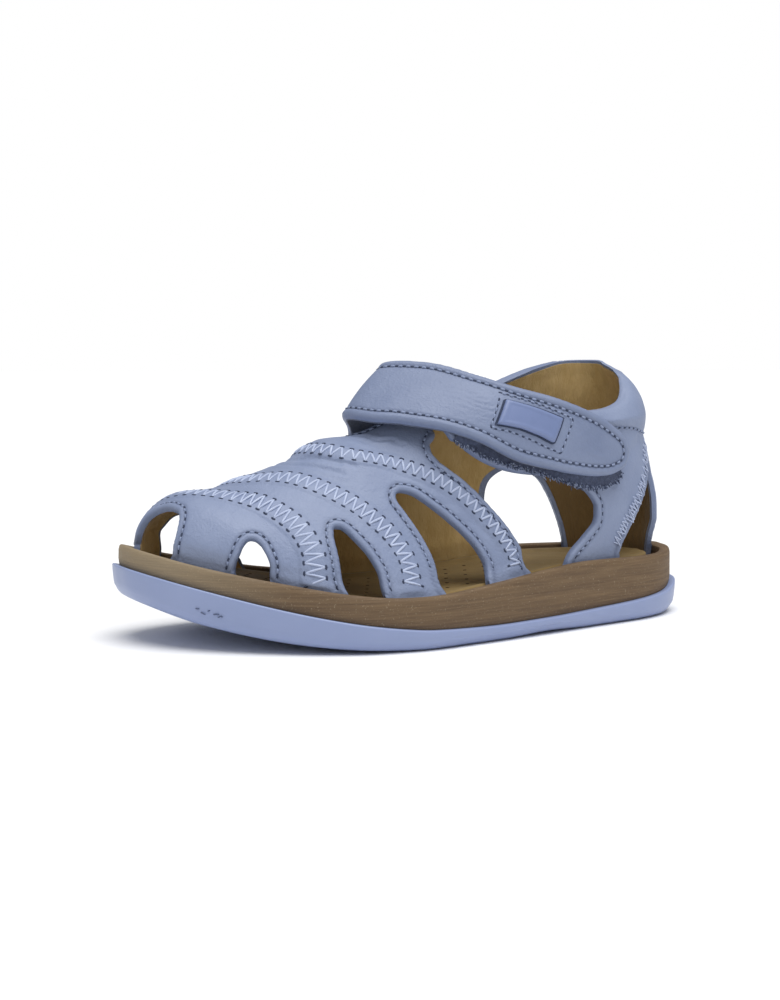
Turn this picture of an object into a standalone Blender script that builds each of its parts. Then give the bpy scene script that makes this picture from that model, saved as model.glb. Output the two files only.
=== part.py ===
"""Child's fisherman sandal, left foot: sole, lined leather upper and fastened instep strap."""
from collections import namedtuple

import bmesh
import bpy
import numpy as np

# Sizes are millimetres in the shoe's own frame: x from the heel's back to the toe,
# y towards the outer side, z up from the floor.
MM = 0.001
ORIGIN_X = 88.5
ORIGIN_Y = 2.8

LIP_TO_RIM = 1.9        # the tray's side stands in from the rubber lip
RIM_INNER = 5.1         # inner wall of the tray's rim, in from the lip
FOOT_INSET = 5.6        # outer face of the upper where it enters the tray
FOOT_DEPTH = 3.6        # how far the upper reaches below the rim
INSOLE_INSET = 9.2      # edge of the footbed, in from the lip
INSOLE_DROP = 0.9       # footbed's edge below the rim
CLEARANCE = 0.3         # gap between neighbouring pieces
WALL_THICKNESS = 2.0    # leather and lining
BAND_RISE = 0.5         # height of the zigzag bands
COLLAR_PADDING = 2.2    # extra thickness of the padded collar
STRAP_THICKNESS = 2.2
PAD_THICKNESS = 0.9
PATCH_THICKNESS = 1.0

SolePlan = namedtuple("SolePlan", "x outer_y inner_y")
SOLE_PLAN = [SolePlan(*row) for row in (
    (0.0, 0.0, -1.5),
    (1.6, 8.0, -9.0),
    (6.0, 14.4, -15.6),
    (13.0, 19.8, -20.8),
    (22.0, 23.6, -24.2),
    (44.0, 28.6, -25.4),
    (66.0, 33.6, -25.8),
    (88.0, 38.2, -29.4),
    (106.0, 40.9, -33.0),
    (120.0, 39.7, -34.9),
    (134.0, 34.6, -35.3),
    (147.0, 26.8, -34.2),
    (158.0, 18.6, -31.8),
    (167.0, 10.2, -28.0),
    (173.5, 1.2, -22.8),
    (176.4, -6.2, -18.0),
    (177.0, -12.0, -12.5),
)]

SoleHeight = namedtuple("SoleHeight", "x tread lip rim")
SOLE_HEIGHTS = [SoleHeight(*row) for row in (
    (0.0, 3.2, 11.0, 21.0),
    (6.0, 0.9, 9.2, 20.0),
    (14.0, 0.0, 7.5, 19.2),
    (45.0, 0.0, 5.5, 19.6),
    (62.0, 0.5, 4.9, 18.4),
    (78.0, 0.0, 4.7, 16.6),
    (104.0, 0.0, 5.6, 14.5),
    (112.0, 0.2, 6.4, 14.6),
    (126.0, 1.0, 8.5, 16.0),
    (140.0, 2.6, 11.4, 18.5),
    (160.0, 7.0, 16.7, 22.8),
    (177.0, 13.6, 21.8, 27.8),
)]

# Sections of the last from the toe arc (0) back to the heel (18); each is an arch from foot to foot.
LastSection = namedtuple("LastSection", "section foot_x crown_x crown_y crown_z fullness")
LAST_SECTIONS = [LastSection(*row) for row in (
    (0, 145.0, 171.0, -12.6, 24.8, 2.00),
    (1, 143.5, 170.2, -12.3, 29.5, 2.05),
    (2, 141.5, 168.0, -11.8, 34.2, 2.10),
    (3, 139.0, 163.6, -11.0, 38.3, 2.15),
    (4, 136.0, 158.3, -10.0, 40.9, 2.20),
    (5, 131.5, 152.0, -9.0, 41.8, 2.25),
    (6, 124.0, 146.0, -8.2, 42.6, 2.25),
    (7, 114.0, 138.8, -7.4, 45.4, 2.25),
    (8, 104.0, 132.5, -6.6, 47.6, 2.25),
    (9, 92.0, 126.6, -5.8, 49.8, 2.25),
    (10, 80.0, 121.6, -5.0, 53.6, 2.25),
    (11, 71.5, 117.8, -4.2, 55.8, 2.25),
    (12, 65.0, 109.5, -3.4, 56.6, 2.25),
    (13, 59.0, 99.5, -2.6, 60.8, 2.25),
    (14, 53.0, 88.0, -2.0, 63.0, 2.25),
    (15, 47.0, 76.0, -2.0, 68.0, 2.25),
    (16, 40.0, 62.0, -2.0, 73.0, 2.25),
    (17, 32.0, 46.0, -2.0, 77.0, 2.25),
    (18, 25.0, 30.0, -2.0, 79.0, 2.25),
)]
HEEL_SECTION = 18.0     # from here the sections run around the heel
HEEL_STEP = 8.0         # millimetres of arc for each further section
PATTERN_HALF = 62.0     # pattern height from the foot line to the crown or the rim
WAIST_HEIGHT = 38.0     # pattern height of the seam under the padded collar
FOOT_BLEND = 2.4        # how softly the arch turns into its upright foot

HeelWall = namedtuple("HeelWall", "height back_inset side_inset")
HEEL_WALL = [HeelWall(*row) for row in (
    (0.0, 0.0, 0.0),
    (5.0, 0.1, 0.1),
    (12.0, -0.7, 0.0),
    (18.0, -0.5, 0.3),
    (28.0, 2.4, 1.0),
    (34.0, 5.0, 1.8),
    (38.0, 5.8, 2.2),
)]

CollarProfile = namedtuple("CollarProfile", "share back_inset side_inset")
COLLAR_PROFILE = [CollarProfile(*row) for row in (
    (0.00, 5.8, 2.2),
    (0.15, 5.3, 1.4),
    (0.32, 5.1, 1.2),
    (0.55, 6.0, 2.0),
    (0.80, 8.6, 3.4),
    (1.00, 12.6, 5.8),
)]

# Arc from the heel's back, outer side positive.
CollarRim = namedtuple("CollarRim", "arc rim_z lean waist_z")
COLLAR_RIM = [CollarRim(*row) for row in (
    (-70.0, 71.0, 6.0, 54.0),
    (-48.0, 77.5, 2.0, 54.0),
    (-34.0, 79.0, 0.0, 54.0),
    (-14.0, 79.2, 0.0, 54.6),
    (0.0, 76.5, 0.0, 55.4),
    (14.0, 71.5, 0.0, 56.4),
    (28.0, 66.5, 0.0, 58.2),
    (40.0, 64.5, 0.0, 58.4),
    (56.0, 64.0, 2.0, 57.2),
    (70.0, 65.0, 5.0, 55.0),
    (84.0, 66.0, 8.5, 54.0),
    (98.0, 66.0, 12.5, 54.0),
)]

# Cut-outs of the flat upper as (section, girth); girth runs from -1 at the inner foot line
# through 0 at the crown to 1 at the outer foot line.
TOE_HOLE_OUTER = ((-0.6, 0.87), (1.2, 0.78), (2.55, 0.71), (3.6, 0.64), (4.23, 0.606), (4.5, 0.63),
                  (4.3, 0.70), (3.87, 0.79), (2.9, 0.88), (2.3, 0.95), (1.8, 1.1), (-0.6, 1.1))
TOE_HOLE_INNER = ((-0.6, 0.40), (0.53, 0.393), (1.27, 0.371), (2.12, 0.329), (2.8, 0.25), (3.04, 0.18),
                  (2.95, 0.09), (2.6, 0.0), (2.0, -0.07), (1.2, -0.12), (0.4, -0.15), (-0.6, -0.17))
MIDDLE_HOLE_OUTER = ((5.8, 1.1), (6.16, 0.91), (6.69, 0.765), (7.22, 0.633), (7.52, 0.592), (7.76, 0.615),
                     (7.76, 0.716), (7.6, 0.82), (7.13, 0.938), (6.6, 1.1))
MIDDLE_HOLE_INNER = ((-0.6, -0.57), (0.8, -0.55), (1.5, -0.52), (2.5, -0.49), (3.4, -0.455), (3.95, -0.46),
                     (4.35, -0.52), (4.3, -0.62), (3.9, -0.74), (3.1, -0.85), (2.3, -0.94), (1.9, -1.1),
                     (-0.6, -1.1))
REAR_HOLE_OUTER = ((8.5, 1.1), (8.89, 0.938), (9.33, 0.848), (9.69, 0.751), (10.04, 0.64), (10.3, 0.575),
                   (10.8, 0.552), (11.3, 0.585), (11.4, 0.72), (11.3, 0.813), (10.92, 0.896), (10.13, 0.972),
                   (9.4, 1.1))
REAR_HOLE_INNER = ((6.55, -1.1), (6.4, -0.93), (6.5, -0.80), (6.45, -0.68), (6.1, -0.60), (5.7, -0.61),
                   (5.4, -0.72), (5.2, -0.86), (5.0, -1.1))
INNER_GAP = ((18.0, -1.1), (17.58, -0.874), (16.96, -0.703), (16.45, -0.615), (15.77, -0.582),
             (15.04, -0.645), (14.75, -0.73), (14.6, -0.82), (14.5, -0.93), (14.4, -1.1))
OUTER_GAP = ((29.4, -1.1), (28.64, -0.918), (27.89, -0.849), (27.28, -0.78), (27.21, -0.73),
             (27.6, -0.66), (28.72, -0.585), (29.85, -0.541), (31.0, -0.50), (32.2, -0.42),
             (33.0, -0.30), (33.1, -0.16), (32.6, -0.06), (33.4, 0.3), (36.0, 0.3), (36.0, -1.1))
BACK_GAP = ((26.4, -1.1), (25.97, -0.922), (25.57, -0.846), (24.85, -0.736), (24.15, -0.615),
            (23.69, -0.536), (23.0, -0.485), (22.5, -0.53), (22.3, -0.65), (22.35, -0.78),
            (22.15, -0.90), (21.7, -1.1))
# Everything behind the vamp's rear edge, over the throat and above the collar's rim.
THROAT_CUT = ((11.9, 1.2), (12.35, 0.96), (13.0, 0.88), (13.2, 0.77), (13.2, 0.64), (13.0, 0.47),
              (13.25, 0.37), (13.65, 0.31), (13.8, 0.20), (13.6, 0.09), (13.0, 0.03), (12.35, 0.0),
              (12.2, -0.1), (12.5, -0.24), (13.2, -0.24), (14.0, -0.14), (15.0, -0.03),
              (16.0, 0.0), (17.0, 0.0))

# Centre lines of the three zigzag bands as (section, girth), inner foot line to outer foot line.
BAND_PATHS = {
    "front": ((-0.1, -0.36), (1.0, -0.345), (2.2, -0.31), (3.3, -0.21), (4.05, -0.02), (5.3, 0.17),
              (6.2, 0.36), (6.4, 0.54), (6.15, 0.70), (5.75, 0.80), (5.25, 0.90), (4.7, 1.0), (4.3, 1.07)),
    "middle": ((3.6, -1.06), (3.9, -0.95), (4.4, -0.80), (5.0, -0.62), (5.7, -0.40), (6.3, -0.20),
               (6.8, 0.02), (8.0, 0.24), (8.6, 0.426), (8.87, 0.564), (8.9, 0.675), (8.7, 0.79),
               (8.1, 0.924), (7.7, 1.02), (7.5, 1.07)),
    "rear": ((8.5, -1.06), (8.8, -0.90), (9.2, -0.70), (9.5, -0.45), (9.7, -0.20), (9.85, 0.0),
             (10.6, 0.25), (11.75, 0.38), (12.33, 0.50), (12.6, 0.60), (12.7, 0.70), (12.65, 0.81),
             (12.33, 0.90), (11.5, 0.97), (11.0, 1.07)),
}
BAND_HALF_WIDTH = {"front": 3.2, "middle": 3.0, "rear": 2.3}

# Strap sections from the sewn inner end to the free outer end, lower and upper edge of the outer face.
StrapSection = namedtuple("StrapSection", "section low_x low_y low_z top_x top_y top_z")
STRAP_SECTIONS = [StrapSection(*row) for row in (
    (0, 95.2, -24.5, 37.7, 75.0, -19.7, 50.3),
    (1, 101.3, -21.7, 46.8, 81.0, -16.2, 58.0),
    (2, 104.8, -15.8, 57.8, 90.8, -14.2, 72.6),
    (3, 110.6, -6.0, 62.4, 96.2, -6.5, 78.2),
    (4, 107.0, 6.0, 62.1, 86.5, 4.5, 78.0),
    (5, 99.5, 13.0, 61.3, 76.5, 13.5, 74.5),
    (6, 91.0, 19.4, 59.6, 67.0, 20.0, 71.0),
    (7, 81.5, 23.8, 56.1, 55.0, 23.2, 67.6),
    (8, 70.0, 26.2, 50.2, 42.0, 24.0, 62.7),
    (9, 57.0, 26.8, 46.9, 32.5, 22.7, 57.4),
    (10, 43.0, 25.5, 43.2, 24.0, 20.2, 51.4),
    (11, 30.0, 23.0, 39.5, 16.0, 16.3, 45.0),
)]
STRAP_STEP = 13.0       # pattern length of one strap section
STRAP_WIDTH = 22.0      # pattern width
STRAP_CAMBER = 0.9

# Corners of the strap's cut pattern as (section, width share).
STRAP_END = ((8.8, -0.02), (9.38, 0.02), (9.85, 0.1), (10.13, 0.26), (10.18, 0.47), (10.02, 0.69),
             (9.74, 0.865), (9.36, 0.97), (8.85, 1.03))
STRAP_END_CORNERS = ((8.85, 1.4), (11.5, 1.4), (11.5, -0.4), (8.8, -0.4))
PAD_OUTLINE = ((7.2, 0.09), (8.8, 0.09), (9.5, 0.17), (9.82, 0.35), (9.85, 0.55), (9.6, 0.74),
               (9.1, 0.87), (7.2, 0.87))
PATCH_OUTLINE = ((6.26, 0.695), (7.58, 0.727), (8.08, 0.375), (7.71, 0.385), (7.3, 0.36),
                 (6.85, 0.281))


def smooth(amount):
    """Ease from 0 to 1."""
    amount = np.clip(amount, 0.0, 1.0)
    return amount * amount * (3.0 - 2.0 * amount)


def fair_line(keys, values, at, free=False):
    """Smooth line through points, never overshooting them unless it is free to swing."""
    step = np.diff(keys)
    grade = np.diff(values) / step
    slope = np.empty_like(values)
    slope[0] = grade[0]
    slope[-1] = grade[-1]
    before = grade[:-1]
    after = grade[1:]
    near = 2.0 * step[1:] + step[:-1]
    far = step[1:] + 2.0 * step[:-1]
    turning = before * after <= 0.0
    safe_before = np.where(turning, 1.0, before)
    safe_after = np.where(turning, 1.0, after)
    held = np.where(turning, 0.0, (near + far) / (near / safe_before + far / safe_after))
    slope[1:-1] = (before + after) / 2.0 if free else held
    at = np.clip(np.asarray(at, float), keys[0], keys[-1])
    index = np.clip(np.searchsorted(keys, at, side="right") - 1, 0, len(keys) - 2)
    share = (at - keys[index]) / step[index]
    rest = 1.0 - share
    return ((1.0 + 2.0 * share) * rest ** 2 * values[index]
            + share * rest ** 2 * step[index] * slope[index]
            + share ** 2 * (3.0 - 2.0 * share) * values[index + 1]
            - share ** 2 * rest * step[index] * slope[index + 1])


def fair(rows, column, at, free=False):
    """Smooth value of a table's column at a key, the key being its first column."""
    keys = np.array([row[0] for row in rows], float)
    values = np.array([getattr(row, column) for row in rows], float)
    return fair_line(keys, values, at, free)


def fair_path(points, count):
    """Smooth plane line through points in order, even in arc length."""
    points = np.array(points, float)
    stations = np.arange(len(points), dtype=float)
    dense = np.linspace(0.0, len(points) - 1.0, count * 6)
    line = np.stack([fair_line(stations, points[:, axis], dense) for axis in (0, 1)], 1)
    arc = np.r_[0.0, np.cumsum(np.hypot(*np.diff(line, axis=0).T))]
    at = np.linspace(0.0, arc[-1], count)
    return np.stack([np.interp(at, arc, line[:, axis]) for axis in (0, 1)], 1)


def lip_loop():
    """Plan of the rubber lip: heel, outer side, toe, inner side."""
    outer = fair_path([(row.x, row.outer_y) for row in SOLE_PLAN], 400)
    inner = fair_path([(row.x, row.inner_y) for row in SOLE_PLAN], 400)
    return np.vstack([outer, inner[::-1]])


LIP_LOOP = lip_loop()


def inward_normals():
    """Inward normals of the lip, eased along it."""
    around = np.roll(LIP_LOOP, -1, 0) - np.roll(LIP_LOOP, 1, 0)
    for _ in range(40):
        around = (np.roll(around, 1, 0) + 2.0 * around + np.roll(around, -1, 0)) / 4.0
    around /= np.linalg.norm(around, axis=1)[:, None]
    return np.stack([around[:, 1], -around[:, 0]], 1)


LIP_INWARD = inward_normals()


def side_line(side, inset, count):
    """One side of the lip drawn in by inset, heel to toe: points, inward normals and arc."""
    moved = LIP_LOOP + LIP_INWARD * inset
    heel = int(np.argmin(moved[:, 0]))
    toe = int(np.argmax(moved[:, 0]))
    total = len(moved)
    if side > 0:
        index = (heel + np.arange((toe - heel) % total + 1)) % total
    else:
        index = (heel - np.arange((heel - toe) % total + 1)) % total
    line = moved[index]
    normals = LIP_INWARD[index]
    arc = np.r_[0.0, np.cumsum(np.hypot(*np.diff(line, axis=0).T))]
    at = np.linspace(0.0, arc[-1], count)
    points = np.stack([np.interp(at, arc, line[:, axis]) for axis in (0, 1)], 1)
    inward = np.stack([np.interp(at, arc, normals[:, axis]) for axis in (0, 1)], 1)
    inward /= np.linalg.norm(inward, axis=1)[:, None]
    return points, inward, at


OUTER_FOOT = side_line(1, FOOT_INSET, 400)
INNER_FOOT = side_line(-1, FOOT_INSET, 400)


def foot_y(foot, x):
    """Where the upper enters the tray on one side."""
    return np.interp(x, foot[0][:, 0], foot[0][:, 1])


def foot_z(x):
    """Lower edge of the upper inside the tray."""
    return fair(SOLE_HEIGHTS, "rim", x) - FOOT_DEPTH


def arch(section, girth):
    """Outer face of the upper over the forefoot."""
    foot_x = fair(LAST_SECTIONS, "foot_x", section)
    fullness = fair(LAST_SECTIONS, "fullness", section)
    names = ("crown_x", "crown_y", "crown_z")
    crown = np.stack([fair(LAST_SECTIONS, name, section) for name in names], -1)
    outer = np.stack([foot_x, foot_y(OUTER_FOOT, foot_x), foot_z(foot_x)], -1)
    inner = np.stack([foot_x, foot_y(INNER_FOOT, foot_x), foot_z(foot_x)], -1)
    middle = (outer + inner) / 2.0
    angle = girth * np.pi / 2.0
    across = np.sign(angle) * np.abs(np.sin(angle)) ** (2.0 / fullness)
    rise = np.abs(np.cos(angle)) ** (2.0 / fullness)
    point = middle + (outer - inner) / 2.0 * across[..., None] + (crown - middle) * rise[..., None]
    # Near the foot line the leather stands upright inside the tray's rim.
    above = point[..., 2] - fair(SOLE_HEIGHTS, "rim", point[..., 0])
    room = 0.9 * (np.hypot(np.clip(above - 0.5, 0.0, None), 2.0) - 2.0)
    blend = FOOT_BLEND * smooth(above / 4.0)
    over = point[..., 1] - foot_y(OUTER_FOOT, point[..., 0]) - room
    point[..., 1] -= (over + np.hypot(over, blend)) / 2.0
    over = foot_y(INNER_FOOT, point[..., 0]) - room - point[..., 1]
    point[..., 1] += (over + np.hypot(over, blend)) / 2.0
    return point


INNER_HEEL_ARC = float(np.interp(LAST_SECTIONS[-1].foot_x, INNER_FOOT[0][:, 0], INNER_FOOT[2]))


def heel_arc(section):
    """Signed arc from the heel's back along the foot line."""
    front = -np.interp(fair(LAST_SECTIONS, "foot_x", section), INNER_FOOT[0][:, 0], INNER_FOOT[2])
    rear = (section - HEEL_SECTION) * HEEL_STEP - INNER_HEEL_ARC
    return np.where(section < HEEL_SECTION, front, rear)


def heel_wall(section, girth):
    """Outer face of the upper around the heel, with the padded collar and the wings."""
    arc = heel_arc(section)
    height = (girth + 1.0) * PATTERN_HALF
    on_outer = (arc >= 0.0)[..., None]
    reach = np.abs(arc)
    places = []
    for part in (0, 1):
        sides = []
        for foot in (OUTER_FOOT, INNER_FOOT):
            lines = [np.interp(reach, foot[2], foot[part][:, axis]) for axis in (0, 1)]
            sides.append(np.stack(lines, -1))
        places.append(np.where(on_outer, sides[0], sides[1]))
    base, inward = places
    at_back = smooth(1.15 - reach / 34.0)
    share = np.clip((height - WAIST_HEIGHT) / (PATTERN_HALF - WAIST_HEIGHT), 0.0, 1.05)
    below = height < WAIST_HEIGHT
    insets = []
    for column in ("back_inset", "side_inset"):
        insets.append(np.where(below, fair(HEEL_WALL, column, height), fair(COLLAR_PROFILE, column, share)))
    back, sides = insets
    forward = (back - sides) * at_back
    low_z = foot_z(base[..., 0])
    rim_z = fair(COLLAR_RIM, "rim_z", arc)
    waist_z = fair(COLLAR_RIM, "waist_z", arc)
    wall_z = low_z + height / WAIST_HEIGHT * (waist_z - low_z)
    z = np.where(below, wall_z, waist_z + share * (rim_z - waist_z))
    lean = fair(COLLAR_RIM, "lean", arc) * (np.clip(z - 18.0, 0.0, None) / 32.0) ** 1.4
    plan = base + inward * (sides + lean)[..., None]
    plan[..., 0] += forward
    return np.concatenate([plan, z[..., None]], -1)


def upper_face(section, girth):
    """Outer face of the whole upper: forefoot arch easing into the heel wall on the inner side."""
    section, girth = np.broadcast_arrays(np.asarray(section, float), np.asarray(girth, float))
    to_heel = smooth((section - 12.0) / 6.0) * smooth(1.0 - girth / 0.2)
    front = arch(np.minimum(section, HEEL_SECTION), girth)
    rear = heel_wall(np.maximum(section, 8.0), np.minimum(girth, 0.05))
    return front + (rear - front) * to_heel[..., None]


def outward(face, first, second, first_step, second_step):
    """Unit normals of a face function, second direction crossed with the first."""
    along = face(first + first_step, second) - face(first - first_step, second)
    over = face(first, second + second_step) - face(first, second - second_step)
    normal = np.cross(over, along)
    return normal / np.linalg.norm(normal, axis=-1)[..., None]


def upper_thickness(section, girth):
    """Wall of the upper, thicker in the padded collar."""
    share = ((girth + 1.0) * PATTERN_HALF - WAIST_HEIGHT) / (PATTERN_HALF - WAIST_HEIGHT)
    padded = np.sin(np.pi * np.clip(share, 0.0, 1.0)) ** 0.8
    around_heel = smooth((section - 15.0) / 2.0) * smooth((28.5 - section) / 2.5)
    return WALL_THICKNESS + COLLAR_PADDING * padded * around_heel


def place_upper(flat):
    """Pull the flat upper over the last; flat holds section, girth and wall share."""
    section = np.clip(flat[:, 0], 0.02, None)
    girth = np.clip(flat[:, 1], -0.998, 0.998)
    wall = flat[:, 2]
    normal = outward(upper_face, section, girth, 0.2, 0.002)
    face = upper_face(section, girth)
    # The bands run out and the lower edge is trimmed level inside the tray.
    clear_of_rim = smooth(face[:, 2] - fair(SOLE_HEIGHTS, "rim", face[:, 0]))
    thickness = np.where(wall > 1.0, WALL_THICKNESS * clear_of_rim, upper_thickness(section, girth))
    point = face + normal * ((wall - 1.0) * thickness)[:, None]
    point[:, 2] = np.maximum(point[:, 2], foot_z(point[:, 0]))
    return point


def strap_face(section, share):
    """Outer face of the strap between its lower (0) and upper (1) edge."""
    names = ("x", "y", "z")
    low = np.stack([fair(STRAP_SECTIONS, "low_" + name, section, True) for name in names], -1)
    top = np.stack([fair(STRAP_SECTIONS, "top_" + name, section, True) for name in names], -1)
    return low + (top - low) * share[..., None]


def place_strap(flat):
    """Lay a flat strap piece over the instep; the third column is the height over the strap's face."""
    section = np.clip(flat[:, 0], 0.02, 10.98)
    share = flat[:, 1]
    normal = -outward(strap_face, section, share, 0.02, 0.02)
    camber = STRAP_CAMBER * np.sin(np.pi * np.clip(share, 0.0, 1.0))
    return strap_face(section, share) + normal * (camber + flat[:, 2])[:, None]


def new_collection(name):
    """Collection linked to the scene."""
    made = bpy.data.collections.new(name)
    bpy.context.scene.collection.children.link(made)
    return made


def add_object(name, mesh_source, home):
    """Object from a bmesh, in one collection."""
    mesh = bpy.data.meshes.new(name)
    bmesh.ops.recalc_face_normals(mesh_source, faces=mesh_source.faces)
    mesh_source.to_mesh(mesh)
    mesh_source.free()
    made = bpy.data.objects.new(name, mesh)
    home.objects.link(made)
    return made


def prism(name, outline, low, high, scale, home):
    """Upright cutter over a plane outline."""
    shape = bmesh.new()
    ring = [shape.verts.new((x * scale[0], y * scale[1], low * scale[2])) for x, y in outline]
    bottom = shape.faces.new(ring)
    grown = bmesh.ops.extrude_face_region(shape, geom=[bottom])
    lifted = [item for item in grown["geom"] if isinstance(item, bmesh.types.BMVert)]
    bmesh.ops.translate(shape, verts=lifted, vec=(0.0, 0.0, (high - low) * scale[2]))
    made = add_object(name, shape, home)
    made.hide_render = True
    made.display_type = "WIRE"
    return made


def slab(name, spans, cells, low, high, scale, home):
    """Flat sheet of even cells with a thickness."""
    bpy.ops.mesh.primitive_grid_add(x_subdivisions=cells[0], y_subdivisions=cells[1], size=1.0)
    made = bpy.context.active_object
    made.name = name
    for other in list(made.users_collection):
        other.objects.unlink(made)
    home.objects.link(made)
    for vertex in made.data.vertices:
        vertex.co.x = (spans[0][0] + (vertex.co.x + 0.5) * (spans[0][1] - spans[0][0])) * scale[0]
        vertex.co.y = (spans[1][0] + (vertex.co.y + 0.5) * (spans[1][1] - spans[1][0])) * scale[1]
        vertex.co.z = high * scale[2]
    solid = made.modifiers.new("thickness", "SOLIDIFY")
    solid.thickness = (high - low) * scale[2]
    solid.offset = -1.0
    apply_modifiers(made)
    return made


def apply_modifiers(target):
    """Apply an object's modifiers in order."""
    bpy.ops.object.select_all(action="DESELECT")
    bpy.context.view_layer.objects.active = target
    target.select_set(True)
    for modifier in list(target.modifiers):
        bpy.ops.object.modifier_apply(modifier=modifier.name)


def combine(target, tool, operation):
    """Boolean one object with another."""
    step = target.modifiers.new(operation.lower(), "BOOLEAN")
    step.solver = "EXACT"
    step.operation = operation
    step.object = tool
    apply_modifiers(target)


def shape_flat(target, scale, place):
    """Triangulate a flat piece and move its points to their place on the shoe."""
    shape = bmesh.new()
    shape.from_mesh(target.data)
    bmesh.ops.remove_doubles(shape, verts=shape.verts, dist=0.00006)
    bmesh.ops.triangulate(shape, faces=shape.faces)
    flat = np.array([vertex.co[:] for vertex in shape.verts]) / np.array(scale)
    for vertex, point in zip(shape.verts, to_world(place(flat))):
        vertex.co = point
    if shape.calc_volume(signed=True) < 0.0:
        bmesh.ops.reverse_faces(shape, faces=shape.faces)
    shape.to_mesh(target.data)
    shape.free()


def to_world(points):
    """Shoe millimetres to metres about the middle of the footprint."""
    return (np.asarray(points) - np.array([ORIGIN_X, ORIGIN_Y, 0.0])) * MM


def finish(target, colour, roughness):
    """Give a piece its own material."""
    material = bpy.data.materials.new(target.name)
    material.use_nodes = True
    shader = material.node_tree.nodes["Principled BSDF"]
    shader.inputs["Base Color"].default_value = colour + (1.0,)
    shader.inputs["Roughness"].default_value = roughness
    shader.inputs["Metallic"].default_value = 0.0
    target.data.materials.clear()
    target.data.materials.append(material)


SoleRing = namedtuple("SoleRing", "inset column lift")


def sole_layer(name, rings, count, home):
    """Closed layer of the sole: rings from the bottom cap up to the top cap."""
    shape = bmesh.new()
    lines = []
    for ring in rings:
        loop = []
        for side in (1, -1):
            plan = side_line(side, ring.inset, count)[0]
            height = fair(SOLE_HEIGHTS, ring.column, plan[:, 0]) + ring.lift
            loop.append(np.column_stack([plan, height]))
        shared = [(loop[0][end] + loop[1][end]) / 2.0 for end in (0, -1)]
        points = [shared[0]] + list(loop[0][1:-1]) + [shared[1]] + list(loop[1][1:-1][::-1])
        lines.append([shape.verts.new(point) for point in to_world(points)])
    around = len(lines[0])
    for lower, upper in zip(lines[:-1], lines[1:]):
        for here in range(around):
            after = (here + 1) % around
            shape.faces.new((lower[here], lower[after], upper[after], upper[here]))
    for line in (lines[0], lines[-1]):
        for here in range(count - 1):
            across = [line[(around - here - 1) % around], line[(around - here) % around]]
            shape.faces.new(list(dict.fromkeys([line[here], line[here + 1]] + across)))
    bmesh.ops.triangulate(shape, faces=shape.faces)
    return add_object(name, shape, home)


def band_outline(name):
    """Outline of one zigzag band: its centre line set off to both sides, in millimetres of leather."""
    line = fair_path(BAND_PATHS[name], 46)
    section = np.clip(line[:, 0], 0.1, None)
    girth = np.clip(line[:, 1], -0.98, 0.98)
    by_section = (upper_face(section + 0.05, girth) - upper_face(section - 0.05, girth)) / 0.1
    by_girth = (upper_face(section, girth + 0.01) - upper_face(section, girth - 0.01)) / 0.02
    run = np.gradient(line, axis=0)
    along = by_section * run[:, :1] + by_girth * run[:, 1:]
    across = np.cross(np.cross(by_girth, by_section), along)
    across *= BAND_HALF_WIDTH[name] / np.linalg.norm(across, axis=1)[:, None]
    offsets = []
    for first, second, goal in zip(by_section, by_girth, across):
        offsets.append(np.linalg.lstsq(np.column_stack([first, second]), goal, rcond=None)[0])
    offsets = np.array(offsets)
    return np.vstack([line - offsets, (line + offsets)[::-1]])


def build_upper(home, tools):
    """Cut the upper flat, add its bands and pull it over the last."""
    scale = (HEEL_STEP * MM, PATTERN_HALF * MM, WALL_THICKNESS * MM)
    spans = ((0.0, 34.0), (-1.0, 1.0))
    cells = (52, 27)
    sheet = slab("upper", spans, cells, 0.0, 1.0, scale, home)
    cuts = {
        "throat": list(fair_path(THROAT_CUT, 70)) + [(36.0, 0.0), (36.0, 1.3), (11.9, 1.3)],
        "outer_gap": list(fair_path(OUTER_GAP[:-2], 60)) + list(OUTER_GAP[-2:]),
        "toe_hole_outer": list(fair_path(TOE_HOLE_OUTER[:-1], 34)) + [TOE_HOLE_OUTER[-1]],
        "toe_hole_inner": fair_path(TOE_HOLE_INNER, 30),
        "middle_hole_outer": fair_path(MIDDLE_HOLE_OUTER, 30),
        "middle_hole_inner": list(fair_path(MIDDLE_HOLE_INNER[:-1], 34)) + [MIDDLE_HOLE_INNER[-1]],
        "rear_hole_outer": fair_path(REAR_HOLE_OUTER, 30),
        "rear_hole_inner": fair_path(REAR_HOLE_INNER, 30),
        "inner_gap": fair_path(INNER_GAP, 30),
        "back_gap": fair_path(BACK_GAP, 30),
    }
    for name, outline in cuts.items():
        combine(sheet, prism("cut_" + name, outline, -1.0, 3.0, scale, tools), "DIFFERENCE")
    for name in BAND_HALF_WIDTH:
        strip = slab("band_" + name, spans, cells, 0.5, 1.0 + BAND_RISE / WALL_THICKNESS, scale, tools)
        combine(strip, prism("edge_" + name, band_outline(name), -1.0, 3.0, scale, tools), "INTERSECT")
        strip.hide_render = True
        strip.display_type = "WIRE"
        combine(sheet, strip, "UNION")
    shape_flat(sheet, scale, place_upper)
    return sheet


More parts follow.
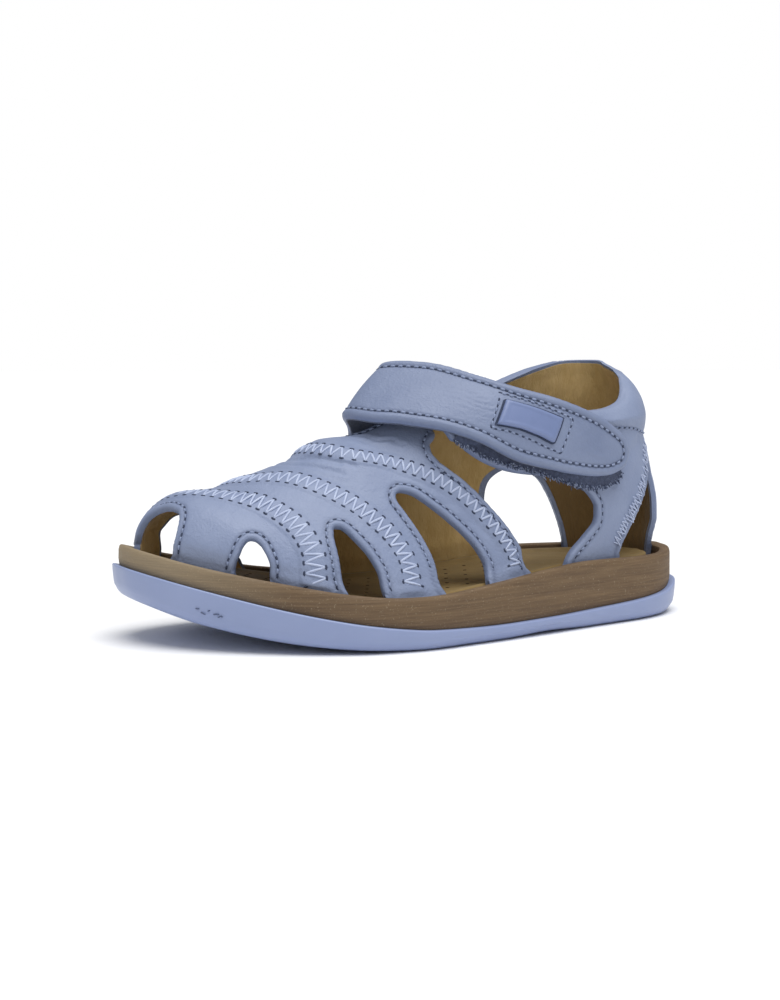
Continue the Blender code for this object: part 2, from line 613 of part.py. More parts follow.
def build_strap(home, tools):
    """The strap with its pad and its patch."""
    scale = (STRAP_STEP * MM, STRAP_WIDTH * MM, MM)
    spans = ((0.1, 10.4), (0.0, 1.0))
    strap = slab("instep_strap", spans, (38, 5), -STRAP_THICKNESS, 0.0, scale, home)
    end = [tuple(point) for point in fair_path(STRAP_END, 24)] + list(STRAP_END_CORNERS)
    combine(strap, prism("cut_strap_end", end, -9.0, 9.0, scale, tools), "DIFFERENCE")
    pad_top = -STRAP_THICKNESS - CLEARANCE
    spans = ((6.0, 10.0), (0.0, 1.0))
    pad = slab("hook_pad", spans, (16, 6), pad_top - PAD_THICKNESS, pad_top, scale, home)
    combine(pad, prism("edge_pad", PAD_OUTLINE, -9.0, 9.0, scale, tools), "INTERSECT")
    spans = ((5.5, 8.5), (0.0, 1.0))
    patch_top = CLEARANCE + PATCH_THICKNESS
    patch = slab("strap_patch", spans, (14, 8), CLEARANCE, patch_top, scale, home)
    combine(patch, prism("edge_patch", PATCH_OUTLINE, -9.0, 9.0, scale, tools), "INTERSECT")
    for piece in (strap, pad, patch):
        shape_flat(piece, scale, place_strap)
    return strap, pad, patch


def build_sole(home):
    """Outsole, tray-shaped midsole and footbed."""
    outsole = sole_layer("outsole", (
        SoleRing(7.0, "tread", 0.0),
        SoleRing(4.2, "tread", 0.0),
        SoleRing(1.6, "tread", 0.9),
        SoleRing(0.5, "tread", 2.4),
        SoleRing(0.0, "lip", -1.6),
        SoleRing(0.0, "lip", -0.5),
        SoleRing(0.5, "lip", 0.0),
        SoleRing(LIP_TO_RIM + 1.0, "lip", -0.1),
    ), 38, home)
    midsole = sole_layer("midsole", (
        SoleRing(LIP_TO_RIM + 1.4, "lip", CLEARANCE),
        SoleRing(LIP_TO_RIM + 0.2, "lip", CLEARANCE),
        SoleRing(LIP_TO_RIM - 0.2, "lip", 2.0),
        SoleRing(LIP_TO_RIM - 0.1, "rim", -1.6),
        SoleRing(LIP_TO_RIM + 0.2, "rim", -0.5),
        SoleRing(LIP_TO_RIM + 0.9, "rim", 0.0),
        SoleRing(RIM_INNER - 0.6, "rim", -0.1),
        SoleRing(RIM_INNER, "rim", -0.7),
        SoleRing(RIM_INNER, "rim", -FOOT_DEPTH - CLEARANCE),
    ), 38, home)
    insole = sole_layer("insole", (
        SoleRing(INSOLE_INSET, "rim", -FOOT_DEPTH),
        SoleRing(INSOLE_INSET, "rim", -INSOLE_DROP - 0.6),
        SoleRing(INSOLE_INSET + 0.7, "rim", -INSOLE_DROP),
        SoleRing(INSOLE_INSET + 6.0, "rim", -INSOLE_DROP - 0.8),
    ), 38, home)
    return outsole, midsole, insole


def main():
    """Build every piece and give it its finish."""
    for old in list(bpy.data.objects):
        bpy.data.objects.remove(old, do_unlink=True)
    home = new_collection("fisherman_sandal")
    tools = new_collection("cutters")
    outsole, midsole, insole = build_sole(home)
    upper = build_upper(home, tools)
    strap, pad, patch = build_strap(home, tools)
    finish(outsole, (0.33, 0.39, 0.58), 0.45)
    finish(midsole, (0.191, 0.133, 0.074), 0.7)
    finish(insole, (0.165, 0.109, 0.050), 0.8)
    finish(upper, (0.220, 0.266, 0.402), 0.6)
    finish(strap, (0.220, 0.266, 0.402), 0.6)
    finish(pad, (0.03, 0.04, 0.06), 0.95)
    finish(patch, (0.209, 0.262, 0.434), 0.5)


main()
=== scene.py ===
"""Looks of a child's fisherman sandal, left foot: lined leather upper, fastened strap and layered sole."""

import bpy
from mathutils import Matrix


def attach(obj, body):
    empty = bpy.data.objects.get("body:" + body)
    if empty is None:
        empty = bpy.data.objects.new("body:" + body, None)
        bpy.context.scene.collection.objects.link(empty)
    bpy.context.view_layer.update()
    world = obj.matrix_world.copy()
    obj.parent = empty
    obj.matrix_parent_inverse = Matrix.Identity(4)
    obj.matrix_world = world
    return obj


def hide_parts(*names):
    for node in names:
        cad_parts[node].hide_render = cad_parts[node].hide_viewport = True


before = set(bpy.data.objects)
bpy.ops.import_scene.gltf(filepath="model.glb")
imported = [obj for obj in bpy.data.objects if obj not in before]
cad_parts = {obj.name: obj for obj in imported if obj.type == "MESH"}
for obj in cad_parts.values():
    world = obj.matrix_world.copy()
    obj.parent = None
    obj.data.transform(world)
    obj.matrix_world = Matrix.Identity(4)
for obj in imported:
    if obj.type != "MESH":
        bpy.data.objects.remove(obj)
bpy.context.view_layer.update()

import logging
import math
from dataclasses import dataclass, field, replace
from enum import Enum
from typing import Callable, ClassVar, NamedTuple, Sequence

import bmesh
import bpy
import numpy as np
from mathutils import Vector
from mathutils.kdtree import KDTree

log = logging.getLogger("sandal")
Array = np.ndarray
Piece = bpy.types.Object
Relief = Callable[[Array, Array], Array]
Pair = tuple[float, float]
Outline = Sequence[Pair]

# Sizes are millimetres in the shoe's own frame: x from the heel's back to the toe,
# y towards the outer side, z up from the floor.
MM = 0.001
ORIGIN = np.array([88.5, 2.8, 0.0])
BODY = "root"


class SolePlan(NamedTuple):
    """Outer and inner side of the rubber lip's plan at one length."""

    x: float
    outer_y: float
    inner_y: float


class SoleHeight(NamedTuple):
    """Heights of the sole's layers at one length."""

    x: float
    tread: float
    lip: float
    rim: float


class LastSection(NamedTuple):
    """One arch of the last from foot line to foot line."""

    section: float
    foot_x: float
    crown_x: float
    crown_y: float
    crown_z: float
    fullness: float


class HeelWall(NamedTuple):
    """How far the heel's wall stands in at one height."""

    height: float
    back_inset: float
    side_inset: float


class CollarProfile(NamedTuple):
    """Roll of the padded collar between its seam and its rim."""

    share: float
    back_inset: float
    side_inset: float


class CollarRim(NamedTuple):
    """Rim and seam of the collar along the arc from the heel's back, outer side positive."""

    arc: float
    rim_z: float
    lean: float
    waist_z: float


class StrapSection(NamedTuple):
    """Lower and upper edge of the strap's outer face at one section."""

    section: float
    low_x: float
    low_y: float
    low_z: float
    top_x: float
    top_y: float
    top_z: float


class SoleRing(NamedTuple):
    """One ring of a sole layer: inset from the lip, share between its two levels, lift."""

    inset: float
    share: float
    lift: float


class SideLine(NamedTuple):
    """One side of the sole's plan, heel to toe."""

    points: Array
    inward: Array
    arc: Array


class Cut(NamedTuple):
    """A cut-out of the flat upper: an eased line and the square corners that close it off the sheet."""

    line: Outline
    corners: Outline = ()
    count: int = 60

    def outline(self) -> Array:
        """Its points in order."""
        eased = fair_path(self.line, self.count)
        return np.vstack([eased, self.corners]) if self.corners else eased


class Crease(NamedTuple):
    """Soft trough of the worn leather along a line of pattern points."""

    line: Outline
    depth: float
    width: float
    swell_place: float = 2.2
    swell_share: float = 0.5

    def relief(self, away: Array) -> Array:
        """Height by distance from the line: a trough with a low swell beside it."""
        trough = np.exp(-(away / self.width) ** 2)
        swell = np.exp(-((away - self.swell_place * self.width) / self.width) ** 2)
        return self.depth * (self.swell_share * swell - trough)


SOLE_PLAN = [SolePlan(*row) for row in (
    (0.0, 0.0, -1.5),
    (1.6, 8.0, -9.0),
    (6.0, 14.4, -15.6),
    (13.0, 19.8, -20.8),
    (22.0, 23.6, -24.2),
    (44.0, 28.6, -25.4),
    (66.0, 33.6, -25.8),
    (88.0, 38.2, -29.4),
    (106.0, 40.9, -33.0),
    (120.0, 39.7, -34.9),
    (134.0, 34.6, -35.3),
    (147.0, 26.8, -34.2),
    (158.0, 18.6, -31.8),
    (167.0, 10.2, -28.0),
    (173.5, 1.2, -22.8),
    (176.4, -6.2, -18.0),
    (177.0, -12.0, -12.5),
)]
SOLE_HEIGHTS = [SoleHeight(*row) for row in (
    (0.0, 3.2, 11.0, 21.0),
    (6.0, 0.9, 9.2, 20.0),
    (14.0, 0.0, 7.5, 19.2),
    (45.0, 0.0, 5.5, 19.6),
    (62.0, 0.5, 4.9, 18.4),
    (78.0, 0.0, 4.7, 16.6),
    (104.0, 0.0, 5.6, 14.5),
    (112.0, 0.2, 6.4, 14.6),
    (126.0, 1.0, 8.5, 16.0),
    (140.0, 2.6, 11.4, 18.5),
    (160.0, 7.0, 16.7, 22.8),
    (177.0, 13.6, 21.8, 27.8),
)]
LAST_SECTIONS = [LastSection(*row) for row in (
    (0, 145.0, 171.0, -12.6, 24.8, 2.00),
    (1, 143.5, 170.2, -12.3, 29.5, 2.05),
    (2, 141.5, 168.0, -11.8, 34.2, 2.10),
    (3, 139.0, 163.6, -11.0, 38.3, 2.15),
    (4, 136.0, 158.3, -10.0, 40.9, 2.20),
    (5, 131.5, 152.0, -9.0, 41.8, 2.25),
    (6, 124.0, 146.0, -8.2, 42.6, 2.25),
    (7, 114.0, 138.8, -7.4, 45.4, 2.25),
    (8, 104.0, 132.5, -6.6, 47.6, 2.25),
    (9, 92.0, 126.6, -5.8, 49.8, 2.25),
    (10, 80.0, 121.6, -5.0, 53.6, 2.25),
    (11, 71.5, 117.8, -4.2, 55.8, 2.25),
    (12, 65.0, 109.5, -3.4, 56.6, 2.25),
    (13, 59.0, 99.5, -2.6, 60.8, 2.25),
    (14, 53.0, 88.0, -2.0, 63.0, 2.25),
    (15, 47.0, 76.0, -2.0, 68.0, 2.25),
    (16, 40.0, 62.0, -2.0, 73.0, 2.25),
    (17, 32.0, 46.0, -2.0, 77.0, 2.25),
    (18, 25.0, 30.0, -2.0, 79.0, 2.25),
)]
HEEL_WALL = [HeelWall(*row) for row in (
    (0.0, 0.0, 0.0),
    (5.0, 0.1, 0.1),
    (12.0, -0.7, 0.0),
    (18.0, -0.5, 0.3),
    (28.0, 2.4, 1.0),
    (34.0, 5.0, 1.8),
    (38.0, 5.8, 2.2),
)]
COLLAR_PROFILE = [CollarProfile(*row) for row in (
    (0.00, 5.8, 2.2),
    (0.15, 5.3, 1.4),
    (0.32, 5.1, 1.2),
    (0.55, 6.0, 2.0),
    (0.80, 8.6, 3.4),
    (1.00, 12.6, 5.8),
)]
COLLAR_RIM = [CollarRim(*row) for row in (
    (-70.0, 71.0, 6.0, 54.0),
    (-48.0, 77.5, 2.0, 54.0),
    (-34.0, 79.0, 0.0, 54.0),
    (-14.0, 79.2, 0.0, 54.6),
    (0.0, 76.5, 0.0, 55.4),
    (14.0, 71.5, 0.0, 56.4),
    (28.0, 66.5, 0.0, 58.2),
    (40.0, 64.5, 0.0, 58.4),
    (56.0, 64.0, 2.0, 57.2),
    (70.0, 65.0, 5.0, 55.0),
    (84.0, 66.0, 8.5, 54.0),
    (98.0, 66.0, 12.5, 54.0),
)]
STRAP_SECTIONS = [StrapSection(*row) for row in (
    (0, 95.2, -24.5, 37.7, 75.0, -19.7, 50.3),
    (1, 101.3, -21.7, 46.8, 81.0, -16.2, 58.0),
    (2, 104.8, -15.8, 57.8, 90.8, -14.2, 72.6),
    (3, 110.6, -6.0, 62.4, 96.2, -6.5, 78.2),
    (4, 107.0, 6.0, 62.1, 86.5, 4.5, 78.0),
    (5, 99.5, 13.0, 61.3, 76.5, 13.5, 74.5),
    (6, 91.0, 19.4, 59.6, 67.0, 20.0, 71.0),
    (7, 81.5, 23.8, 56.1, 55.0, 23.2, 67.6),
    (8, 70.0, 26.2, 50.2, 42.0, 24.0, 62.7),
    (9, 57.0, 26.8, 46.9, 32.5, 22.7, 57.4),
    (10, 43.0, 25.5, 43.2, 24.0, 20.2, 51.4),
    (11, 30.0, 23.0, 39.5, 16.0, 16.3, 45.0),
)]

# Cut-outs of the flat upper as (section, girth); girth runs from -1 at the inner foot line
# through 0 at the crown to 1 at the outer foot line. The throat takes away everything behind
# the vamp's rear edge and above the collar's rim.
CUTS = {
    "throat": Cut((
        (11.9, 1.2), (12.35, 0.96), (13.0, 0.88), (13.2, 0.77), (13.2, 0.64), (13.0, 0.47), (13.25, 0.37),
        (13.65, 0.31), (13.8, 0.20), (13.6, 0.09), (13.0, 0.03), (12.35, 0.0), (12.2, -0.1), (12.5, -0.24),
        (13.2, -0.24), (14.0, -0.14), (15.0, -0.03), (16.0, 0.0), (17.0, 0.0)),
        ((36.0, 0.0), (36.0, 1.3), (11.9, 1.3)), 140),
    "outer_gap": Cut((
        (29.4, -1.1), (28.64, -0.918), (27.89, -0.849), (27.28, -0.78), (27.21, -0.73), (27.6, -0.66),
        (28.72, -0.585), (29.85, -0.541), (31.0, -0.50), (32.2, -0.42), (33.0, -0.30), (33.1, -0.16),
        (32.6, -0.06), (33.4, 0.3)),
        ((36.0, 0.3), (36.0, -1.1)), 120),
    "toe_hole_outer": Cut((
        (-0.6, 0.87), (1.2, 0.78), (2.55, 0.71), (3.6, 0.64), (4.23, 0.606), (4.5, 0.63), (4.3, 0.70),
        (3.87, 0.79), (2.9, 0.88), (2.3, 0.95), (1.8, 1.1)),
        ((-0.6, 1.1),), 68),
    "toe_hole_inner": Cut((
        (-0.6, 0.40), (0.53, 0.393), (1.27, 0.371), (2.12, 0.329), (2.8, 0.25), (3.04, 0.18), (2.95, 0.09),
        (2.6, 0.0), (2.0, -0.07), (1.2, -0.12), (0.4, -0.15), (-0.6, -0.17))),
    "middle_hole_outer": Cut((
        (5.8, 1.1), (6.16, 0.91), (6.69, 0.765), (7.22, 0.633), (7.52, 0.592), (7.76, 0.615), (7.76, 0.716),
        (7.6, 0.82), (7.13, 0.938), (6.6, 1.1))),
    "middle_hole_inner": Cut((
        (-0.6, -0.57), (0.8, -0.55), (1.5, -0.52), (2.5, -0.49), (3.4, -0.455), (3.95, -0.46), (4.35, -0.52),
        (4.3, -0.62), (3.9, -0.74), (3.1, -0.85), (2.3, -0.94), (1.9, -1.1)),
        ((-0.6, -1.1),), 68),
    "rear_hole_outer": Cut((
        (8.5, 1.1), (8.89, 0.938), (9.33, 0.848), (9.69, 0.751), (10.04, 0.64), (10.3, 0.575), (10.8, 0.552),
        (11.3, 0.585), (11.4, 0.72), (11.3, 0.813), (10.92, 0.896), (10.13, 0.972), (9.4, 1.1))),
    "rear_hole_inner": Cut((
        (6.55, -1.1), (6.4, -0.93), (6.5, -0.80), (6.45, -0.68), (6.1, -0.60), (5.7, -0.61), (5.4, -0.72),
        (5.2, -0.86), (5.0, -1.1))),
    "inner_gap": Cut((
        (18.0, -1.1), (17.58, -0.874), (16.96, -0.703), (16.45, -0.615), (15.77, -0.582), (15.04, -0.645),
        (14.75, -0.73), (14.6, -0.82), (14.5, -0.93), (14.4, -1.1))),
    "back_gap": Cut((
        (26.4, -1.1), (25.97, -0.922), (25.57, -0.846), (24.85, -0.736), (24.15, -0.615), (23.69, -0.536),
        (23.0, -0.485), (22.5, -0.53), (22.3, -0.65), (22.35, -0.78), (22.15, -0.90), (21.7, -1.1))),
}

# Centre lines of the three zigzag bands as (section, girth), inner foot line to outer foot line.
BAND_PATHS = {
    "front": ((-0.1, -0.36), (1.0, -0.345), (2.2, -0.31), (3.3, -0.21), (4.05, -0.02), (5.3, 0.17),
              (6.2, 0.36), (6.4, 0.54), (6.15, 0.70), (5.75, 0.80), (5.25, 0.90), (4.7, 1.0),
              (4.3, 1.07)),
    "middle": ((3.6, -1.06), (3.9, -0.95), (4.4, -0.80), (5.0, -0.62), (5.7, -0.40), (6.3, -0.20),
               (6.8, 0.02), (8.0, 0.24), (8.6, 0.426), (8.87, 0.564), (8.9, 0.675), (8.7, 0.79),
               (8.1, 0.924), (7.7, 1.02), (7.5, 1.07)),
    "rear": ((8.5, -1.06), (8.8, -0.90), (9.2, -0.70), (9.5, -0.45), (9.7, -0.20), (9.85, 0.0),
             (10.6, 0.25), (11.75, 0.38), (12.33, 0.50), (12.6, 0.60), (12.7, 0.70), (12.65, 0.81),
             (12.33, 0.90), (11.5, 0.97), (11.0, 1.07)),
}
BAND_HALF_WIDTH = {"front": 3.2, "middle": 3.0, "rear": 2.3}

# The outer leg's back edge, and the lower and the upper edge of the loop tape on the heel wing.
LEG_BACK_EDGE = ((22.9, -0.445), (23.7, -0.536), (24.15, -0.615), (24.85, -0.736), (25.57, -0.846),
                 (25.97, -0.922))
TAPE_LOWER_EDGE = ((26.07, -0.58), (26.36, -0.614), (26.84, -0.632), (27.59, -0.634), (28.39, -0.612),
                   (29.17, -0.575), (29.87, -0.537), (30.94, -0.484), (31.56, -0.455), (32.22, -0.41),
                   (32.9, -0.33))
TAPE_UPPER_EDGE = ((32.4, -0.2), (31.0, -0.36), (29.85, -0.42), (28.72, -0.47), (27.6, -0.51),
                   (26.4, -0.54))

# Strap outlines as (section, width share).
STRAP_END = ((8.8, -0.02), (9.38, 0.02), (9.85, 0.1), (10.13, 0.26), (10.18, 0.47), (10.02, 0.69),
             (9.74, 0.865), (9.36, 0.97), (8.85, 1.03))
STRAP_END_CORNERS = ((8.85, 1.4), (11.5, 1.4), (11.5, -0.4), (8.8, -0.4))
PAD_OUTLINE = ((7.2, 0.09), (8.8, 0.09), (9.5, 0.17), (9.82, 0.35), (9.85, 0.55), (9.6, 0.74),
               (9.1, 0.87), (7.2, 0.87))
PATCH_OUTLINE = ((6.26, 0.695), (7.58, 0.727), (8.08, 0.375), (7.71, 0.385), (7.3, 0.36),
                 (6.85, 0.281))
PATCH_FRAME = ((5.95, 0.798), (7.75, 0.79), (8.51, 0.281), (7.71, 0.297), (7.24, 0.269), (6.85, 0.202))

# Creases of the worn leather, set on the pattern.
CREASES = (
    Crease(((8.9, -0.25), (9.0, 0.0), (9.5, 0.18), (9.9, 0.30)), 0.26, 0.7),
    Crease(((8.3, -0.20), (8.5, 0.02), (9.1, 0.20), (9.6, 0.36)), 0.22, 0.6),
    Crease(((9.2, 0.05), (9.8, 0.22), (10.3, 0.36)), 0.2, 0.6),
    Crease(((7.8, -0.10), (8.1, 0.04), (8.6, 0.16)), 0.10, 0.6),
    Crease(((12.0, 0.05), (12.2, 0.12), (12.25, 0.19), (12.55, 0.26), (12.6, 0.32)), 0.42, 0.5),
    Crease(((11.5, 0.0), (11.8, 0.10), (12.0, 0.20)), 0.12, 0.7),
    Crease(((11.8, 0.72), (12.1, 0.76), (12.2, 0.82)), 0.10, 0.8),
    Crease(((11.6, 0.62), (12.0, 0.66)), 0.10, 0.8),
    Crease(((8.0, 0.55), (8.2, 0.62)), 0.08, 0.8),
    Crease(((24.5, -0.45), (25.5, -0.52), (26.3, -0.62)), 0.12, 1.2),
)

STRAP_CREASES = (
    Crease(((5.15, 0.66), (5.4, 0.645), (5.65, 0.655)), 0.09, 0.35),
    Crease(((5.45, 0.61), (5.75, 0.60), (5.95, 0.615)), 0.1, 0.35),
    Crease(((5.0, 0.58), (5.3, 0.565), (5.7, 0.56)), 0.08, 0.35),
    Crease(((5.5, 0.53), (5.9, 0.52), (6.25, 0.53)), 0.1, 0.35),
    Crease(((5.3, 0.49), (5.6, 0.475), (5.85, 0.48)), 0.08, 0.35),
    Crease(((5.75, 0.45), (6.1, 0.44), (6.4, 0.45)), 0.1, 0.35),
    Crease(((5.6, 0.39), (5.9, 0.38), (6.3, 0.375)), 0.08, 0.35),
    Crease(((6.0, 0.33), (6.3, 0.325), (6.6, 0.33)), 0.08, 0.35),
    Crease(((8.75, 0.42), (9.1, 0.39), (9.45, 0.41)), 0.06, 0.5),
    Crease(((8.65, 0.57), (9.05, 0.53), (9.3, 0.54)), 0.06, 0.5),
)


def smooth(amount: Array) -> Array:
    """Ease from 0 to 1."""
    amount = np.clip(amount, 0.0, 1.0)
    return amount * amount * (3.0 - 2.0 * amount)


def ramp(value: Array, start: float, run: float) -> Array:
    """Ease from 0 at a start to 1 after a run, which is negative where it grows downwards."""
    return smooth((value - start) / run)


def fair_line(keys: Array, values: Array, at: Array, free: bool = False) -> Array:
    """Smooth line through points, never overshooting them unless it is free to swing.

    Args:
        keys: rising places of the points.
        values: values at those places.
        at: places asked for, held inside the keys.
        free: whether the line may swing past the points.

    Returns:
        The line's values there.
    """
    step = np.diff(keys)
    grade = np.diff(values) / step
    slope = np.empty_like(values)
    slope[0] = grade[0]
    slope[-1] = grade[-1]
    before = grade[:-1]
    after = grade[1:]
    near = 2.0 * step[1:] + step[:-1]
    far = step[1:] + 2.0 * step[:-1]
    turning = before * after <= 0.0
    safe_before = np.where(turning, 1.0, before)
    safe_after = np.where(turning, 1.0, after)
    held = np.where(turning, 0.0, (near + far) / (near / safe_before + far / safe_after))
    slope[1:-1] = (before + after) / 2.0 if free else held
    at = np.clip(np.asarray(at, float), keys[0], keys[-1])
    index = np.clip(np.searchsorted(keys, at, side="right") - 1, 0, len(keys) - 2)
    share = (at - keys[index]) / step[index]
    rest = 1.0 - share
    return ((1.0 + 2.0 * share) * rest ** 2 * values[index]
            + share * rest ** 2 * step[index] * slope[index]
            + share ** 2 * (3.0 - 2.0 * share) * values[index + 1]
            - share ** 2 * rest * step[index] * slope[index + 1])


def fair(rows: Sequence[NamedTuple], column: str, at: Array, free: bool = False) -> Array:
    """Smooth value of a table's column at a key, the key being its first column.

    Args:
        rows: the table.
        column: name of the column read.
        at: keys asked for.
        free: whether the line may swing past the rows.

    Returns:
        The column's values there.
    """
    keys = np.array([row[0] for row in rows], float)
    values = np.array([getattr(row, column) for row in rows], float)
    return fair_line(keys, values, at, free)


def arc_lengths(line: Array) -> Array:
    """Distance of each point from the line's start, along the line."""
    return np.r_[0.0, np.cumsum(np.linalg.norm(np.diff(line, axis=0), axis=1))]


def rows_at(keys: Array, rows: Array, at: Array) -> Array:
    """Rows of two columns read off between their rising keys."""
    return np.stack([np.interp(at, keys, rows[:, axis]) for axis in (0, 1)], -1)


def fair_path(points: Outline, count: int) -> Array:
    """Smooth plane line through points in order, even in arc length.

    Args:
        points: the line's points.
        count: how many points to return.

    Returns:
        Points along the line, one row each.
    """
    points = np.array(points, float)
    stations = np.arange(len(points), dtype=float)
    dense = np.linspace(0.0, len(points) - 1.0, count * 6)
    line = np.stack([fair_line(stations, points[:, axis], dense) for axis in (0, 1)], 1)
    arc = arc_lengths(line)
    return rows_at(arc, line, np.linspace(0.0, arc[-1], count))


def to_world(points: Array) -> Array:
    """Shoe millimetres to the frame's metres."""
    return (np.asarray(points) - ORIGIN) * MM


def unit_rows(rows: Array) -> Array:
    """Rows scaled to length one."""
    return rows / np.maximum(np.linalg.norm(rows, axis=-1), 1e-9)[..., None]


def outline_room(points: Array, outline: Array) -> tuple[Array, Array]:
    """Signed distance of plane points to a closed outline.

    Args:
        points: plane points, one row each.
        outline: the outline's corners in order.

    Returns:
        Distances, positive outside the outline, and unit directions of growing distance.
    """
    best = np.full(len(points), 1e9)
    nearest = points.copy()
    inside = np.zeros(len(points), bool)
    for start, end in zip(outline, np.roll(outline, -1, 0)):
        run = end - start
        share = np.clip((points - start) @ run / max(run @ run, 1e-12), 0.0, 1.0)
        foot = start + share[:, None] * run
        gap = np.hypot(*(points - foot).T)
        closer = gap < best
        best[closer] = gap[closer]
        nearest[closer] = foot[closer]
        spans = (start[1] > points[:, 1]) != (end[1] > points[:, 1])
        rise = run[1] if abs(run[1]) > 1e-12 else 1e-12
        inside ^= spans & (points[:, 0] < start[0] + (points[:, 1] - start[1]) * run[0] / rise)
    sign = np.where(inside, -1.0, 1.0)
    away = (points - nearest) * (sign / np.maximum(best, 1e-9))[:, None]
    return best * sign, away


class NearLine:
    """Finds how far shoe points are from a line of points."""

    def __init__(self, points: Array) -> None:
        """Store the line's points."""
        self.tree = KDTree(len(points))
        for index, point in enumerate(points):
            self.tree.insert(Vector(point), index)
        self.tree.balance()

    def distance(self, points: Array) -> Array:
        """Distance of each point to the line, in millimetres."""
        return np.array([self.tree.find(Vector(point))[2] for point in points])


@dataclass
class SoleLines:
    """Plan and heights of the sole."""

    samples: int = 400
    easing: int = 40
    loop: Array = field(init=False)
    inward: Array = field(init=False)

    def __post_init__(self) -> None:
        """Work out the lip's plan and its eased inward normals."""
        outer = fair_path([(row.x, row.outer_y) for row in SOLE_PLAN], self.samples)
        inner = fair_path([(row.x, row.inner_y) for row in SOLE_PLAN], self.samples)
        self.loop = np.vstack([outer, inner[::-1]])
        around = np.roll(self.loop, -1, 0) - np.roll(self.loop, 1, 0)
        for _ in range(self.easing):
            around = (np.roll(around, 1, 0) + 2.0 * around + np.roll(around, -1, 0)) / 4.0
        around = unit_rows(around)
        self.inward = np.stack([around[:, 1], -around[:, 0]], 1)

    def side(self, side: int, inset: float, count: int) -> SideLine:
        """One side of the lip drawn in.

        Args:
            side: 1 for the outer side, -1 for the inner.
            inset: how far it is drawn in.
            count: number of points.

        Returns:
            The side, heel to toe.
        """
        moved = self.loop + self.inward * inset
        heel = int(np.argmin(moved[:, 0]))
        toe = int(np.argmax(moved[:, 0]))
        total = len(moved)
        index = (heel + side * np.arange(side * (toe - heel) % total + 1)) % total
        arc = arc_lengths(moved[index])
        at = np.linspace(0.0, arc[-1], count)
        inward = rows_at(arc, self.inward[index], at)
        return SideLine(rows_at(arc, moved[index], at), unit_rows(inward), at)

    def height(self, column: str, x: Array) -> Array:
        """Height of one level of the sole at a length."""
        return fair(SOLE_HEIGHTS, column, x)


class Form:
    """A face drawn over a flat pattern of two places, with the steps that its growth is measured by."""

    steps: ClassVar[Pair]
    facing: ClassVar[float]

    def face(self, first: Array, second: Array) -> Array:
        """Shoe points of pattern places."""
        raise NotImplementedError

    def grades(self, first: Array, second: Array) -> tuple[Array, Array]:
        """Growth of the face by each of the two places."""
        one, two = self.steps
        along = (self.face(first + one, second) - self.face(first - one, second)) / (2.0 * one)
        over = (self.face(first, second + two) - self.face(first, second - two)) / (2.0 * two)
        return along, over

    def normal(self, first: Array, second: Array) -> Array:
        """Outward unit normals."""
        return self.facing * unit_rows(np.cross(*self.grades(first, second)))

    def offset(self, line: Array, distance: float) -> Array:
        """A pattern line set off to one side by millimetres of leather.

        Args:
            line: pattern points in order.
            distance: how far, positive towards growing girth for a line of growing section.

        Returns:
            The moved pattern points.
        """
        along, over = self.grades(*line.T)
        run = np.gradient(line, axis=0)
        ahead = along * run[:, :1] + over * run[:, 1:]
        across = unit_rows(np.cross(np.cross(along, over), ahead)) * distance
        moves = []
        for first, second, goal in zip(along, over, across):
            moves.append(np.linalg.lstsq(np.column_stack([first, second]), goal, rcond=None)[0])
        return line + np.array(moves)

    def even(self, line: Array, pitch: float) -> Array:
        """Pattern points a pitch in millimetres apart along a pattern line, measured on the face."""
        arc = arc_lengths(self.face(*line.T))
        return rows_at(arc, line, np.arange(0.0, arc[-1], pitch))


